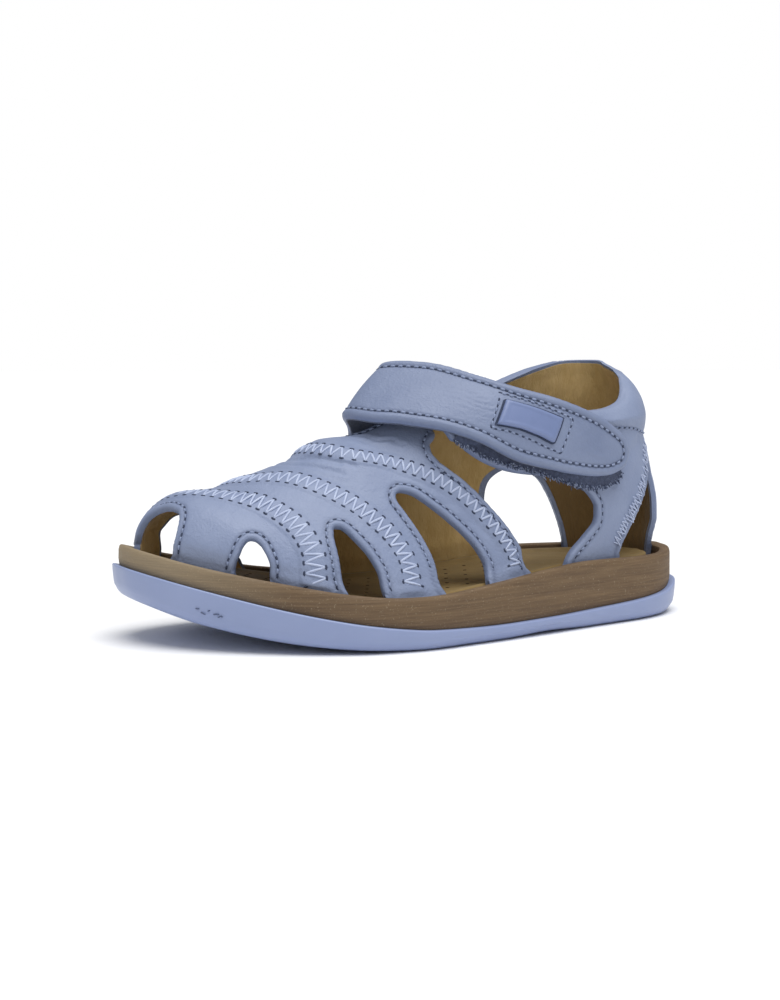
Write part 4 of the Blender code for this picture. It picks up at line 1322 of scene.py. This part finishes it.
@dataclass
class Sole:
    """Rubber outsole, tray-shaped midsole and footbed."""

    lines: SoleLines
    count: int = 150
    ring_cells: int = 3
    lip_to_rim: float = 1.9
    rim_inner: float = 5.1
    foot_depth: float = 3.6
    clearance: float = 0.3
    foot_gap: float = 0.05
    insole_inset: float = 9.2
    insole_drop: float = 0.9
    # The midsole is painted paler from here towards the toe, as painted light.
    toe_light_from: float = 82.0
    toe_light_run: float = 30.0
    rib_pitch: float = 7.0
    rib_depth: float = 1.0
    rib_wave: Pair = (2.2, 5.0)
    groove_half: float = 1.3
    groove_ease: float = 0.9
    tread_border: Pair = (3.0, 2.0)
    dish: float = 0.8
    dish_run: float = 5.5
    scuff_depth: float = 0.12
    hole_pitch: float = 6.5
    hole_margin: float = 6.0
    hole_field: tuple[Pair, Pair] = ((60.0, 150.0), (-26.0, 34.0))

    def ring(self, row: SoleRing, levels: tuple[str, str]) -> tuple[Array, Array]:
        """Outer and inner half of one ring, heel to toe, sharing their end points.

        Args:
            row: the ring.
            levels: the two heights that its share lies between.

        Returns:
            Shoe points of the outer and of the inner half.
        """
        halves = []
        for side in (1, -1):
            plan = self.lines.side(side, row.inset, self.count).points
            low, high = (self.lines.height(level, plan[:, 0]) for level in levels)
            halves.append(np.column_stack([plan, low + (high - low) * row.share + row.lift]))
        for end in (0, -1):
            middle = (halves[0][end] + halves[1][end]) / 2.0
            halves[0][end] = middle
            halves[1][end] = middle
        return halves[0], halves[1]

    def wall(self, name: str, rows: Sequence[SoleRing], levels: tuple[str, str]) -> Piece:
        """The side of a layer through rings, eased between them.

        Args:
            name: the patch's name.
            rows: rings from the bottom up.
            levels: the two heights that their shares lie between.

        Returns:
            The patch.
        """
        stations = np.arange(len(rows), dtype=float)
        table = np.array(rows, float)
        at = np.linspace(0.0, len(rows) - 1.0, (len(rows) - 1) * self.ring_cells + 1)
        eased = np.stack([fair_line(stations, table[:, column], at) for column in range(3)], 1)
        loops = []
        for row in eased:
            outer, inner = self.ring(SoleRing(*row), levels)
            loops.append(np.vstack([outer, inner[::-1][1:]]))
        loops = np.array(loops)
        piece, places = new_grid(name, loops.shape[1] - 1, loops.shape[0] - 1)
        column = np.round(places[:, 0] * (loops.shape[1] - 1)).astype(int)
        level = np.round(places[:, 1] * (loops.shape[0] - 1)).astype(int)
        write_points(piece, to_world(loops[level, column]))
        return piece

    def cap(self, name: str, row: SoleRing, levels: tuple[str, str], across: int,
            relief: Relief) -> Piece:
        """The face that closes a layer inside a ring.

        Args:
            name: the patch's name.
            row: the ring.
            levels: the two heights that its share lies between.
            across: cells from side to side.
            relief: lift by shoe point and by distance from the ring's nearer side.

        Returns:
            The patch.
        """
        outer, inner = self.ring(row, levels)
        piece, places = new_grid(name, self.count - 1, across)
        station = np.round(places[:, 0] * (self.count - 1)).astype(int)
        share = places[:, 1][:, None]
        points = outer[station] * (1.0 - share) + inner[station] * share
        width = np.linalg.norm(outer - inner, axis=1)[station]
        margin = np.minimum(places[:, 1], 1.0 - places[:, 1]) * width
        ends = np.minimum(points[:, 0] - outer[0, 0], outer[-1, 0] - points[:, 0])
        points[:, 2] += relief(points, np.minimum(margin, ends))
        write_points(piece, to_world(points))
        return piece

    def tread(self, points: Array, margin: Array) -> Array:
        """Wavy grooves across the tread, clear of its edge."""
        swing, length = self.rib_wave
        phase = (points[:, 0] + swing * np.sin(points[:, 1] / length)) / self.rib_pitch
        away = np.abs(phase - np.round(phase)) * -self.rib_pitch
        groove = smooth((away + self.groove_half) / self.groove_ease)
        return self.rib_depth * groove * ramp(margin, *self.tread_border)

    def footbed_dish(self, points: Array, margin: Array) -> Array:
        """The footbed sinks a little inside its edge."""
        return -self.dish * smooth(margin / self.dish_run)

    def level(self, points: Array, margin: Array) -> Array:
        """No relief."""
        return np.zeros(len(points))

    def marks(self) -> None:
        """Perforations of the footbed and scuff flecks on the outsole's toe."""
        x, y = np.meshgrid(*(np.arange(low, high, self.hole_pitch) for low, high in self.hole_field))
        x = x + np.where(np.round(y / self.hole_pitch) % 2 == 0, 0.0, self.hole_pitch / 2.0)
        x, y = x.ravel(), y.ravel()
        inset = self.insole_inset + self.hole_margin
        outer, inner = (np.interp(x, *self.lines.side(side, inset, 300).points.T) for side in (1, -1))
        inside = (y < outer) & (y > inner)
        top = self.lines.height("rim", x) - self.insole_drop - self.dish
        points = np.column_stack([x, y, top])[inside]
        # Dark discs stand in for the perforations: painted shade.
        work = ThreadWork("footbed", hole_radius=0.66, hole_stretch=1.0)
        work.add_holes(points, np.tile([0.0, 0.0, 1.0], (len(points), 1)))
        dress(work.hole_mesh(), PERFORATION, "insole")
        lip = self.lines.side(1, 0.0, 400)
        x, share, run, lift = np.array(SCUFFS).T
        facing = np.column_stack([-rows_at(lip.points[:, 0], lip.inward, x), np.zeros(len(x))])
        ends = []
        for at, rise in ((x, 0.0), (x - run, lift)):
            low, high = (self.lines.height(name, at) for name in ("tread", "lip"))
            z = low + (high - low) * share + rise
            ends.append(np.column_stack([at, np.interp(at, *lip.points.T), z]) - facing * self.scuff_depth)
        work = ThreadWork("toe_scuff")
        work.add(*ends, facing, Stitch.SCUFF)
        dress(work.thread_mesh(), SCUFF, "outsole")

    def layer(self, name: str, rings: Sequence[tuple[float, float, float]], levels: tuple[str, str],
              caps: Sequence[tuple[int, Relief]], angle: float) -> Piece:
        """One closed layer of the sole.

        Args:
            name: the layer's name.
            rings: its rings from the bottom up, each as inset, share and lift.
            levels: the two heights that their shares lie between.
            caps: cells across and relief of its underside and of its top.
            angle: turn in degrees from which an edge stays sharp.

        Returns:
            The layer.
        """
        rows = [SoleRing(*ring) for ring in rings]
        patches = [self.wall(name + "_side", rows, levels)]
        for row, (across, relief) in zip((rows[0], rows[-1]), caps):
            patches.append(self.cap(name + "_cap", row, levels, across, relief))
        made = join_closed(name, patches)
        soft_shading(made, angle)
        return made

    def build(self) -> None:
        """Make the three layers, the footbed's perforations and the toe's scuffs."""
        base = self.lip_to_rim
        outsole = self.layer("rubber_outsole", (
            (4.2, 0.0, 0.0),
            (2.6, 0.0, 0.3),
            (1.5, 0.0, 1.0),
            (0.5, 0.0, 2.4),
            (0.0, 1.0, -1.6),
            (0.0, 1.0, -0.5),
            (0.5, 1.0, 0.0),
            (base + 1.0, 1.0, -0.1),
        ), ("tread", "lip"), ((40, self.tread), (2, self.level)), 50.0)
        dress(outsole, RUBBER, "outsole", "outsole")
        midsole = self.layer("foam_midsole", (
            (base + 1.4, 0.0, self.clearance),
            (base + 0.1, 0.0, self.foot_gap),
            (base - 0.2, 0.0, 2.0),
            (base - 0.15, 0.5, 0.0),
            (base - 0.1, 1.0, -1.6),
            (base + 0.2, 1.0, -0.5),
            (base + 0.9, 1.0, 0.0),
            (self.rim_inner - 0.6, 1.0, -0.1),
            (self.rim_inner, 1.0, -0.7),
            (self.rim_inner, 1.0, -self.foot_depth - self.clearance),
        ), ("lip", "rim"), ((2, self.level), (6, self.level)), 60.0)
        # Painted light: the toe's end is painted paler, as if lit more from the front.
        note_values(midsole, "edge", (self.toe_light_from - read_points(midsole)[:, 0] / MM) / self.toe_light_run)
        dress(midsole, MIDSOLE, "midsole", "midsole")
        footbed = self.layer("leather_footbed", (
            (self.insole_inset, 1.0, -self.foot_depth),
            (self.insole_inset, 1.0, -self.insole_drop - 0.6),
            (self.insole_inset + 0.7, 1.0, -self.insole_drop),
        ), ("lip", "rim"), ((2, self.level), (30, self.footbed_dish)), 50.0)
        dress(footbed, FOOTBED, "insole", "insole")
        self.marks()


@dataclass
class Upper:
    """Leather upper with its lining, zigzag bands and stitched edges."""

    last: Last
    cell: float = 0.6226
    lining_cell: float = 1.0
    leather_share: float = 0.06
    lining_share: float = 0.14
    lining_inset: float = 1.4
    rim_inset: float = 0.35
    rim_span: Pair = (17.0, 33.0)
    rim_fall: float = 1.1
    rim_roll: float = 2.6
    band_rise: float = 0.5
    band_border: float = 0.9
    band_ease: float = 0.7
    needle_inset: float = 0.25
    needle_groove: float = 0.22
    needle_width: float = 0.5
    roll: EdgeRoll = EdgeRoll(stitch_inset=2.1, swell=0.24, fall=0.65, fall_width=0.9, groove=0.26)
    thread_lift: float = 0.1
    overlock: Pair = (0.3, 4.9)
    overlock_play: float = 0.2
    seam_girth: float = -0.387
    seam_span: Pair = (19.0, 27.6)
    lining_rise: tuple[Pair, Pair] = ((15.5, 1.5), (-0.12, 0.1))
    # Where and how strongly the heel's lining is painted darker below the collar, as painted shade.
    heel_lining_shade: tuple[Pair, Pair] = ((15.0, 2.0), (-0.25, -0.25))
    heel_lining_shade_share: float = 0.8
    tape_spans: tuple[Pair, Pair] = ((25.5, 34.0), (-0.7, -0.1))
    tape_cell: float = 0.6
    tape_heights: Pair = (0.1, 1.5)
    fibre_scatter: float = 0.004
    fibre_over: float = 0.2
    fibre_drop: Pair = (0.1, 1.1)
    fibre_stand: Pair = (0.0, 0.5)
    fibre_play: float = 0.25
    spans: tuple[Pair, Pair] = ((0.0, 34.0), (-1.0, 1.0))
    unit: Pair = (7.2, 66.0)
    on_sheet: tuple[float, float, float] = (0.05, 33.9, 0.99)
    sewable: tuple[float, float, float] = (0.9, 33.5, 0.97)
    pulled: Pair = (0.02, 0.998)
    stitch_room: float = 1.2
    edge_step: float = 0.25

    def __post_init__(self) -> None:
        """Lay out the cut-outs and note where edges, bands and creases run."""
        self.cuts = {name: cut.outline() for name, cut in CUTS.items()}
        edges = []
        for name, cut in self.cuts.items():
            line = cut[:-len(CUTS[name].corners)] if name == "throat" else np.vstack([cut, cut[:1]])
            edges.append(self.last.even(line[self.within(line, self.on_sheet)], self.edge_step))
        self.edge = NearLine(np.vstack([self.last.face(*line.T) for line in edges]))
        rim = np.column_stack([np.linspace(*self.rim_span, 500), np.zeros(500)])
        self.rim = NearLine(self.last.face(*rim.T))
        self.bands = {}
        for name, path in BAND_PATHS.items():
            line = fair_path(path, 240)
            line = line[self.within(line, self.on_sheet)]
            self.bands[name] = (line, NearLine(self.last.face(*line.T)))
        self.creases = []
        for crease in CREASES:
            line = fair_path(crease.line, 60)
            self.creases.append((crease, NearLine(self.last.face(*line.T))))

    def within(self, line: Array, bounds: tuple[float, float, float]) -> Array:
        """Whether pattern points lie between two sections and inside a girth."""
        first, last, girth = bounds
        return (np.abs(line[:, 1]) < girth) & (line[:, 0] > first) & (line[:, 0] < last)

    def relief(self, face: Array) -> tuple[Array, Array]:
        """Height of bands, rolled edges and creases over the plain face.

        Args:
            face: shoe points on the plain face.

        Returns:
            Heights, and distances to the nearest cut edge.
        """
        edge = self.edge.distance(face)
        height = self.roll.relief(edge)
        rim = np.clip(self.rim.distance(face) / self.rim_roll, 0.0, 1.0)
        height -= self.rim_fall * (1.0 - rim) ** 2
        for name, (_, line) in self.bands.items():
            away = line.distance(face)
            half = BAND_HALF_WIDTH[name]
            height += self.band_rise * smooth((half + self.band_border - away) / self.band_ease)
            needles = (away - half + self.needle_inset) / self.needle_width
            height -= self.needle_groove * np.exp(-needles ** 2)
        for crease, line in self.creases:
            height += crease.relief(line.distance(face))
        return height * self.last.above_rim(face), edge

    def outside(self, line: Array) -> tuple[Array, Array]:
        """Shoe points and normals of pattern points on the finished leather."""
        face = self.last.face(*line.T)
        normal = self.last.normal(*line.T)
        return face + normal * (self.relief(face)[0] + self.thread_lift)[:, None], normal

    def pull(self, piece: Piece, places: Array, wall: Array, span: Pair) -> Array:
        """Pull a flat piece over the last.

        Args:
            piece: the flat piece.
            places: its points' pattern places.
            wall: 1 on its outer face, 0 on its inner face.
            span: wall shares of its inner and its outer face.

        Returns:
            Distance of each point to the nearest cut edge.
        """
        first, furthest = self.pulled
        section = np.clip(places[:, 0], first, None)
        girth = np.clip(places[:, 1], -furthest, furthest)
        share = span[0] + (span[1] - span[0]) * wall
        face = self.last.face(section, girth)
        normal = self.last.normal(section, girth)
        depth = (share - 1.0) * self.last.thickness(section, girth)
        height, edge = self.relief(face)
        outer = (wall > 0.5) & (span[1] == 1.0)
        point = face + normal * (depth + np.where(outer, height, 0.0))[:, None]
        point[:, 2] = np.maximum(point[:, 2], self.last.foot_z(point[:, 0]))
        lay(piece, point)
        return edge

    def stitched_edges(self, work: ThreadWork) -> None:
        """A stitch line inside every cut edge but the back opening's."""
        inset = self.roll.stitch_inset
        for name, cut in self.cuts.items():
            if name == "back_gap":
                continue
            line = np.vstack([cut, cut[:1]])
            # One of the two sides lies off the leather and falls away.
            for side in (inset, -inset):
                for part in self.parts(self.last.offset(line, side)):
                    places = self.last.even(part, Stitch.EDGE.value.pitch)
                    if len(places) > 3:
                        work.run(*self.outside(places))

    def parts(self, line: Array) -> list[Array]:
        """Stretches of a stitch line that run on visible leather, clear of every cut."""
        face = self.last.face(*line.T)
        clear = (self.last.above_rim(face) > 0.9) & self.within(line, self.sewable)
        flat = line * self.unit
        for cut in self.cuts.values():
            clear &= outline_room(flat, cut * self.unit)[0] > self.stitch_room
        stretches = []
        start = None
        for index, good in enumerate(np.r_[clear, False]):
            if good and start is None:
                start = index
            if not good and start is not None:
                if index - start > 4:
                    stretches.append(line[start:index])
                start = None
        return stretches

    def zigzag_bands(self, work: ThreadWork) -> None:
        """Zigzag thread across each band, from needle hole to needle hole."""
        for name, (line, _) in self.bands.items():
            half = BAND_HALF_WIDTH[name] - self.needle_inset
            for part in self.parts(line):
                middle = self.last.even(part, Stitch.ZIGZAG.value.pitch)
                left, right = (self.last.offset(middle, side) for side in (half, -half))
                to_left = np.arange(len(middle)) % 2 == 0
                points, normals = self.outside(np.where(to_left[:, None], left, right))
                work.chain(points, normals, Stitch.ZIGZAG)
                work.add_holes(points, normals)

    def heel_thread(self, work: ThreadWork) -> None:
        """Overlock along the outer leg's back edge."""
        edge = fair_path(LEG_BACK_EDGE, 120)
        pitch = Stitch.OVERLOCK.value.pitch
        rng = np.random.default_rng(8)
        near, far = (self.last.even(self.last.offset(edge, away), pitch) for away in self.overlock)
        count = min(len(near), len(far))
        # Two loose passes of thread lie over each other.
        for turn in (0, 1):
            places = np.where((np.arange(count) % 2 == turn)[:, None], near[:count], far[:count])
            points, normals = self.outside(places)
            points = points + rng.normal(0.0, self.overlock_play, points.shape)
            work.chain(points, normals, Stitch.OVERLOCK)

    def collar_seam(self, work: ThreadWork) -> None:
        """The seam under the padded collar."""
        seam = np.column_stack([np.linspace(*self.seam_span, 90), np.full(90, self.seam_girth)])
        work.run(*self.outside(self.last.even(seam, Stitch.EDGE.value.pitch)))

    def loop_tape(self) -> None:
        """Loop half of the fastening on the heel wing, frayed along its lower edge."""
        lower = fair_path(TAPE_LOWER_EDGE, 120)
        outline = np.vstack([lower, fair_path(TAPE_UPPER_EDGE, 60)])
        tape, places, wall = PatternSheet(
            "loop_tape", self.tape_spans, self.unit, self.tape_cell, [outline], keep_inside=True).cut()
        face = self.last.face(*places.T)
        normal = self.last.normal(*places.T)
        low, high = self.tape_heights
        lay(tape, face + normal * (low + (high - low) * wall)[:, None])
        dress(tape, HOOK_TAPE, "hook_pad")
        rng = np.random.default_rng(5)
        for name, finish, count in (("dark", DARK_FIBRE, 620), ("light", LIGHT_FIBRE, 420)):
            at = lower[np.sort(rng.integers(0, len(lower), count))]
            at = at + rng.normal(0.0, self.fibre_scatter, (count, 2))
            root = self.last.face(*at.T)
            out = self.last.normal(*at.T)
            down = -unit_rows(self.last.grades(*at.T)[1])
            start = root + out * rng.uniform(low, high + self.fibre_over, count)[:, None]
            reach = down * rng.uniform(*self.fibre_drop, count)[:, None]
            reach = reach + out * rng.uniform(*self.fibre_stand, count)[:, None]
            end = start + reach + rng.normal(0.0, self.fibre_play, (count, 3))
            work = ThreadWork(name + "_fibre")
            work.add(start, end, out, Stitch.FIBRE)
            dress(work.thread_mesh(), finish, "hook_pad")

    def build(self) -> None:
        """Make leather, lining and thread."""
        outlines = list(self.cuts.values())
        leather, places, wall = PatternSheet(
            "leather_upper", self.spans, self.unit, self.cell, outlines).cut()
        edge = self.pull(leather, places, wall, (self.leather_share, 1.0))
        self.roll.mark(leather, edge, wall)
        dress(leather, LEATHER, "upper", "upper")
        lining, places, wall = PatternSheet(
            "upper_lining", self.spans, self.unit, self.lining_cell, outlines, self.lining_inset).cut()
        # Around the heel the lining reaches up to the collar's rim.
        to_rim = ramp(places[:, 0], *self.lining_rise[0]) * ramp(places[:, 1], *self.lining_rise[1])
        places[:, 1] += (self.lining_inset - self.rim_inset) / self.unit[1] * to_rim
        self.pull(lining, places, wall, (0.0, self.lining_share))
        # Painted shade: the heel's lining is painted darker below the collar.
        heel_lining_shade = ramp(places[:, 0], *self.heel_lining_shade[0]) * ramp(places[:, 1], *self.heel_lining_shade[1])
        note_values(lining, "edge", 1.0 - self.heel_lining_shade_share * heel_lining_shade)
        dress(lining, LINING, "upper")
        rows = ThreadWork("band")
        self.zigzag_bands(rows)
        dress(rows.thread_mesh(), THREAD, "upper")
        dress(rows.hole_mesh(), NEEDLE_HOLE, "upper")
        edges = ThreadWork("edge")
        self.stitched_edges(edges)
        self.collar_seam(edges)
        dress(edges.thread_mesh(), EDGE_THREAD, "upper")
        dress(edges.hole_mesh(), NEEDLE_HOLE, "upper")
        heel = ThreadWork("heel")
        self.heel_thread(heel)
        dress(heel.thread_mesh(), THREAD, "upper")
        self.loop_tape()


@dataclass
class Strap:
    """Instep strap with its lining, stitched edge, hook pad and bare patch."""

    form: StrapForm
    spans: tuple[Pair, Pair] = ((0.1, 10.4), (0.0, 1.0))
    cell: float = 0.5
    lining_cell: float = 1.6
    lining_inset: float = 0.4
    lining_share: float = 0.25
    roll: EdgeRoll = EdgeRoll(stitch_inset=2.7, swell=0.3, fall=0.7, fall_width=1.0, groove=0.2)
    thread_sink: float = 0.03
    clearance: float = 0.3
    pad_spans: tuple[Pair, Pair] = ((6.0, 10.0), (0.0, 1.0))
    pad_cell: float = 0.7
    pad_thickness: float = 0.9
    patch_spans: tuple[Pair, Pair] = ((5.5, 8.5), (0.0, 1.0))
    patch_cell: float = 0.3
    patch_thickness: float = 1.0
    window_cell: float = 0.4
    window_gap: float = 0.55
    window_floor: float = 0.3
    window_depth: float = 0.42
    patch_roll: Pair = (0.45, 0.7)
    patch_dish: float = 0.12
    patch_rim: Pair = (1.0, 0.8)
    patch_stitch: float = 0.9
    sewn_lines: Pair = (0.32, 1.05)
    sewn_width: Pair = (0.14, 0.86)

    def __post_init__(self) -> None:
        """Lay out the free end and the edge line around the strap."""
        tip = fair_path(STRAP_END, 60)
        self.end = np.vstack([tip, STRAP_END_CORNERS])
        low = np.column_stack([np.linspace(0.1, tip[0, 0], 200), np.zeros(200)])
        top = np.column_stack([np.linspace(tip[-1, 0], 0.1, 200), np.ones(200)])
        self.border = np.vstack([low, np.clip(tip[2:-2], [0.0, 0.0], [11.0, 1.0]), top])
        dense = self.form.even(np.vstack([self.border, self.border[:1]]), 0.3)
        self.edge = NearLine(self.plain(dense))
        self.creases = []
        for crease in STRAP_CREASES:
            self.creases.append((crease, NearLine(self.plain(fair_path(crease.line, 60)))))

    def plain(self, places: Array) -> Array:
        """Shoe points of pattern places on the strap's plain face."""
        return self.form.place(*places.T, np.zeros(len(places)))[0]

    def pull(self, piece: Piece, places: Array, height: Array, rolled: bool) -> Array:
        """Lay a flat piece over the instep.

        Args:
            piece: the flat piece.
            places: its points' pattern places.
            height: their heights over the strap's face.
            rolled: whether its outer face rolls over at the edge.

        Returns:
            Distance of each point to the strap's edge.
        """
        plain = self.plain(places)
        edge = self.edge.distance(plain)
        if rolled:
            lift = self.roll.relief(edge)
            for crease, line in self.creases:
                lift += crease.relief(line.distance(plain))
            height = height + np.where(height > -0.01, lift, 0.0)
        lay(piece, self.form.place(*places.T, height)[0])
        return edge

    def outside(self, line: Array) -> tuple[Array, Array]:
        """Shoe points and normals of pattern points on the finished strap."""
        return self.form.place(*line.T, np.full(len(line), -self.thread_sink))

    def sew(self, work: ThreadWork, line: Array, pitch: float = Stitch.EDGE.value.pitch) -> None:
        """Run edge stitches along a pattern line."""
        work.run(*self.outside(self.form.even(line, pitch)))

    def patch(self, unit: Pair) -> None:
        """The bare patch in its window, edged by a dark sheet of painted shade.

        Args:
            unit: millimetres of pattern in one section and in the full width.
        """
        outline = np.array(PATCH_OUTLINE)
        plate, places, wall = PatternSheet(
            "plain_patch", self.patch_spans, unit, self.patch_cell, [outline], keep_inside=True).cut()
        room = -outline_room(places * unit, outline * unit)[0]
        fall, width = self.patch_roll
        roll = fall * (1.0 - np.clip(room / width, 0.0, 1.0)) ** 2
        dish = self.patch_dish * ramp(room, *self.patch_rim)
        height = self.clearance + wall * (self.patch_thickness - roll - dish)
        self.pull(plate, places, height, False)
        dress(plate, PATCH_RUBBER, "strap_patch", "strap_patch")
        # A dark sheet just wider than the patch lies under it: painted shade in the gap around the patch.
        bed, places, wall = PatternSheet(
            "patch_window_shade", self.patch_spans, unit, self.window_cell, [outline],
            inset=-self.window_gap, keep_inside=True).cut()
        self.pull(bed, places, -self.window_floor + wall * self.window_depth, False)
        dress(bed, NEEDLE_HOLE, "instep_strap")

    def build(self) -> None:
        """Make leather, lining, thread, pad and patch."""
        unit = (self.form.step, self.form.width)
        leather, places, wall = PatternSheet("leather_strap", self.spans, unit, self.cell, [self.end]).cut()
        depth = self.form.thickness * (1.0 - self.lining_share)
        edge = self.pull(leather, places, (wall - 1.0) * depth, True)
        self.roll.mark(leather, edge, wall)
        dress(leather, STRAP_LEATHER_SHADED, "instep_strap", "instep_strap")
        lining, places, wall = PatternSheet(
            "strap_lining", self.spans, unit, self.lining_cell, [self.end], self.lining_inset).cut()
        height = (wall - 1.0) * self.form.thickness * self.lining_share - depth
        self.pull(lining, places, height, False)
        dress(lining, STRAP_BACKING, "instep_strap")

        under = -self.form.thickness - self.clearance
        pad, places, wall = PatternSheet(
            "hook_tape", self.pad_spans, unit, self.pad_cell, [fair_path(PAD_OUTLINE + PAD_OUTLINE[:1], 90)],
            keep_inside=True).cut()
        self.pull(pad, places, under + (wall - 1.0) * self.pad_thickness, False)
        dress(pad, HOOK_TAPE, "hook_pad", "hook_pad")

        self.patch(unit)

        work = ThreadWork("strap")
        # The stitch line is the one of the two that lies nearer the strap's middle.
        sides = [self.form.offset(self.border, side * self.roll.stitch_inset) for side in (1.0, -1.0)]
        self.sew(work, min(sides, key=lambda line: np.mean(np.abs(line[:, 1] - 0.5))))
        ring = np.vstack([np.linspace(start, end, 30, endpoint=False)
                          for start, end in zip(PATCH_FRAME, PATCH_FRAME[1:] + PATCH_FRAME[:1])])
        self.sew(work, ring, Stitch.EDGE.value.pitch * self.patch_stitch)
        for section in self.sewn_lines:
            self.sew(work, np.column_stack([np.full(40, section), np.linspace(*self.sewn_width, 40)]))
        dress(work.thread_mesh(), EDGE_THREAD, "instep_strap")
        dress(work.hole_mesh(), NEEDLE_HOLE, "instep_strap")


@dataclass
class Studio:
    """Pale floor, soft light and the camera at the photograph's angle."""

    turn: float = 63.3
    rise: float = 5.5
    distance: float = 450.0
    target: tuple[float, float, float] = (90.0, -2.0, 33.0)
    lens: float = 54.5
    shift: Pair = (-0.0216, 0.0141)
    floor_size: float = 60.0
    floor_tone: str = "#f8f8f8"
    sky_light: float = 0.36
    sun_place: tuple[float, float, float] = (0.0, 0.24, 1.0)
    sun_spread: float = 50.0
    sun_power: float = 2.8

    def sun(self) -> None:
        """An even, wide light from overhead."""
        light = bpy.data.lights.new("overhead", "SUN")
        light.angle = math.radians(self.sun_spread)
        light.energy = self.sun_power
        lamp = bpy.data.objects.new("overhead", light)
        bpy.context.scene.collection.objects.link(lamp)
        lamp.rotation_euler = Vector(self.sun_place).to_track_quat("Z", "Y").to_euler()

    def build(self) -> None:
        """Set floor, world, lights and camera."""
        scene = bpy.context.scene
        scene.view_settings.view_transform = "Standard"
        floor, places = new_grid("floor", 4, 4)
        write_points(floor, np.column_stack([(places - 0.5) * self.floor_size, np.zeros(len(places))]))
        pale = bpy.data.materials.new("pale_floor")
        pale.use_nodes = True
        shader = pale.node_tree.nodes["Principled BSDF"]
        shader.inputs["Base Color"].default_value = hex_colour(self.floor_tone)
        shader.inputs["Roughness"].default_value = 0.9
        floor.data.materials.append(pale)
        world = bpy.data.worlds.new("studio")
        world.use_nodes = True
        # The backdrop is bright in the picture and lights the shoe less than it shows.
        sky = world.node_tree
        seen = add_node(sky, "ShaderNodeLightPath").outputs["Is Camera Ray"]
        strength = add_node(sky, "ShaderNodeMapRange", {
            "Value": seen, "To Min": self.sky_light, "To Max": 1.0})
        sky.nodes["Background"].inputs["Color"].default_value = (1.0, 1.0, 1.0, 1.0)
        sky.links.new(strength.outputs[0], sky.nodes["Background"].inputs["Strength"])
        scene.world = world
        self.sun()
        turn, rise = math.radians(self.turn), math.radians(self.rise)
        back = Vector((math.cos(rise) * math.cos(turn), math.cos(rise) * math.sin(turn), math.sin(rise)))
        data = bpy.data.cameras.new("camera")
        data.sensor_width = 36.0
        data.lens = self.lens
        data.shift_x, data.shift_y = self.shift
        data.clip_start, data.clip_end = 0.01, 100.0
        camera = bpy.data.objects.new("camera", data)
        scene.collection.objects.link(camera)
        camera.location = Vector(to_world(self.target)) + back * self.distance * MM
        camera.rotation_euler = (-back).to_track_quat("-Z", "Y").to_euler()
        scene.camera = camera


def main() -> None:
    """Build the sandal's looks over the frame."""
    logging.basicConfig(level=logging.INFO, format="%(name)s: %(message)s")
    lines = SoleLines()
    Sole(lines).build()
    Upper(Last(lines)).build()
    Strap(StrapForm()).build()
    Studio().build()


if __name__ == "__main__":
    main()
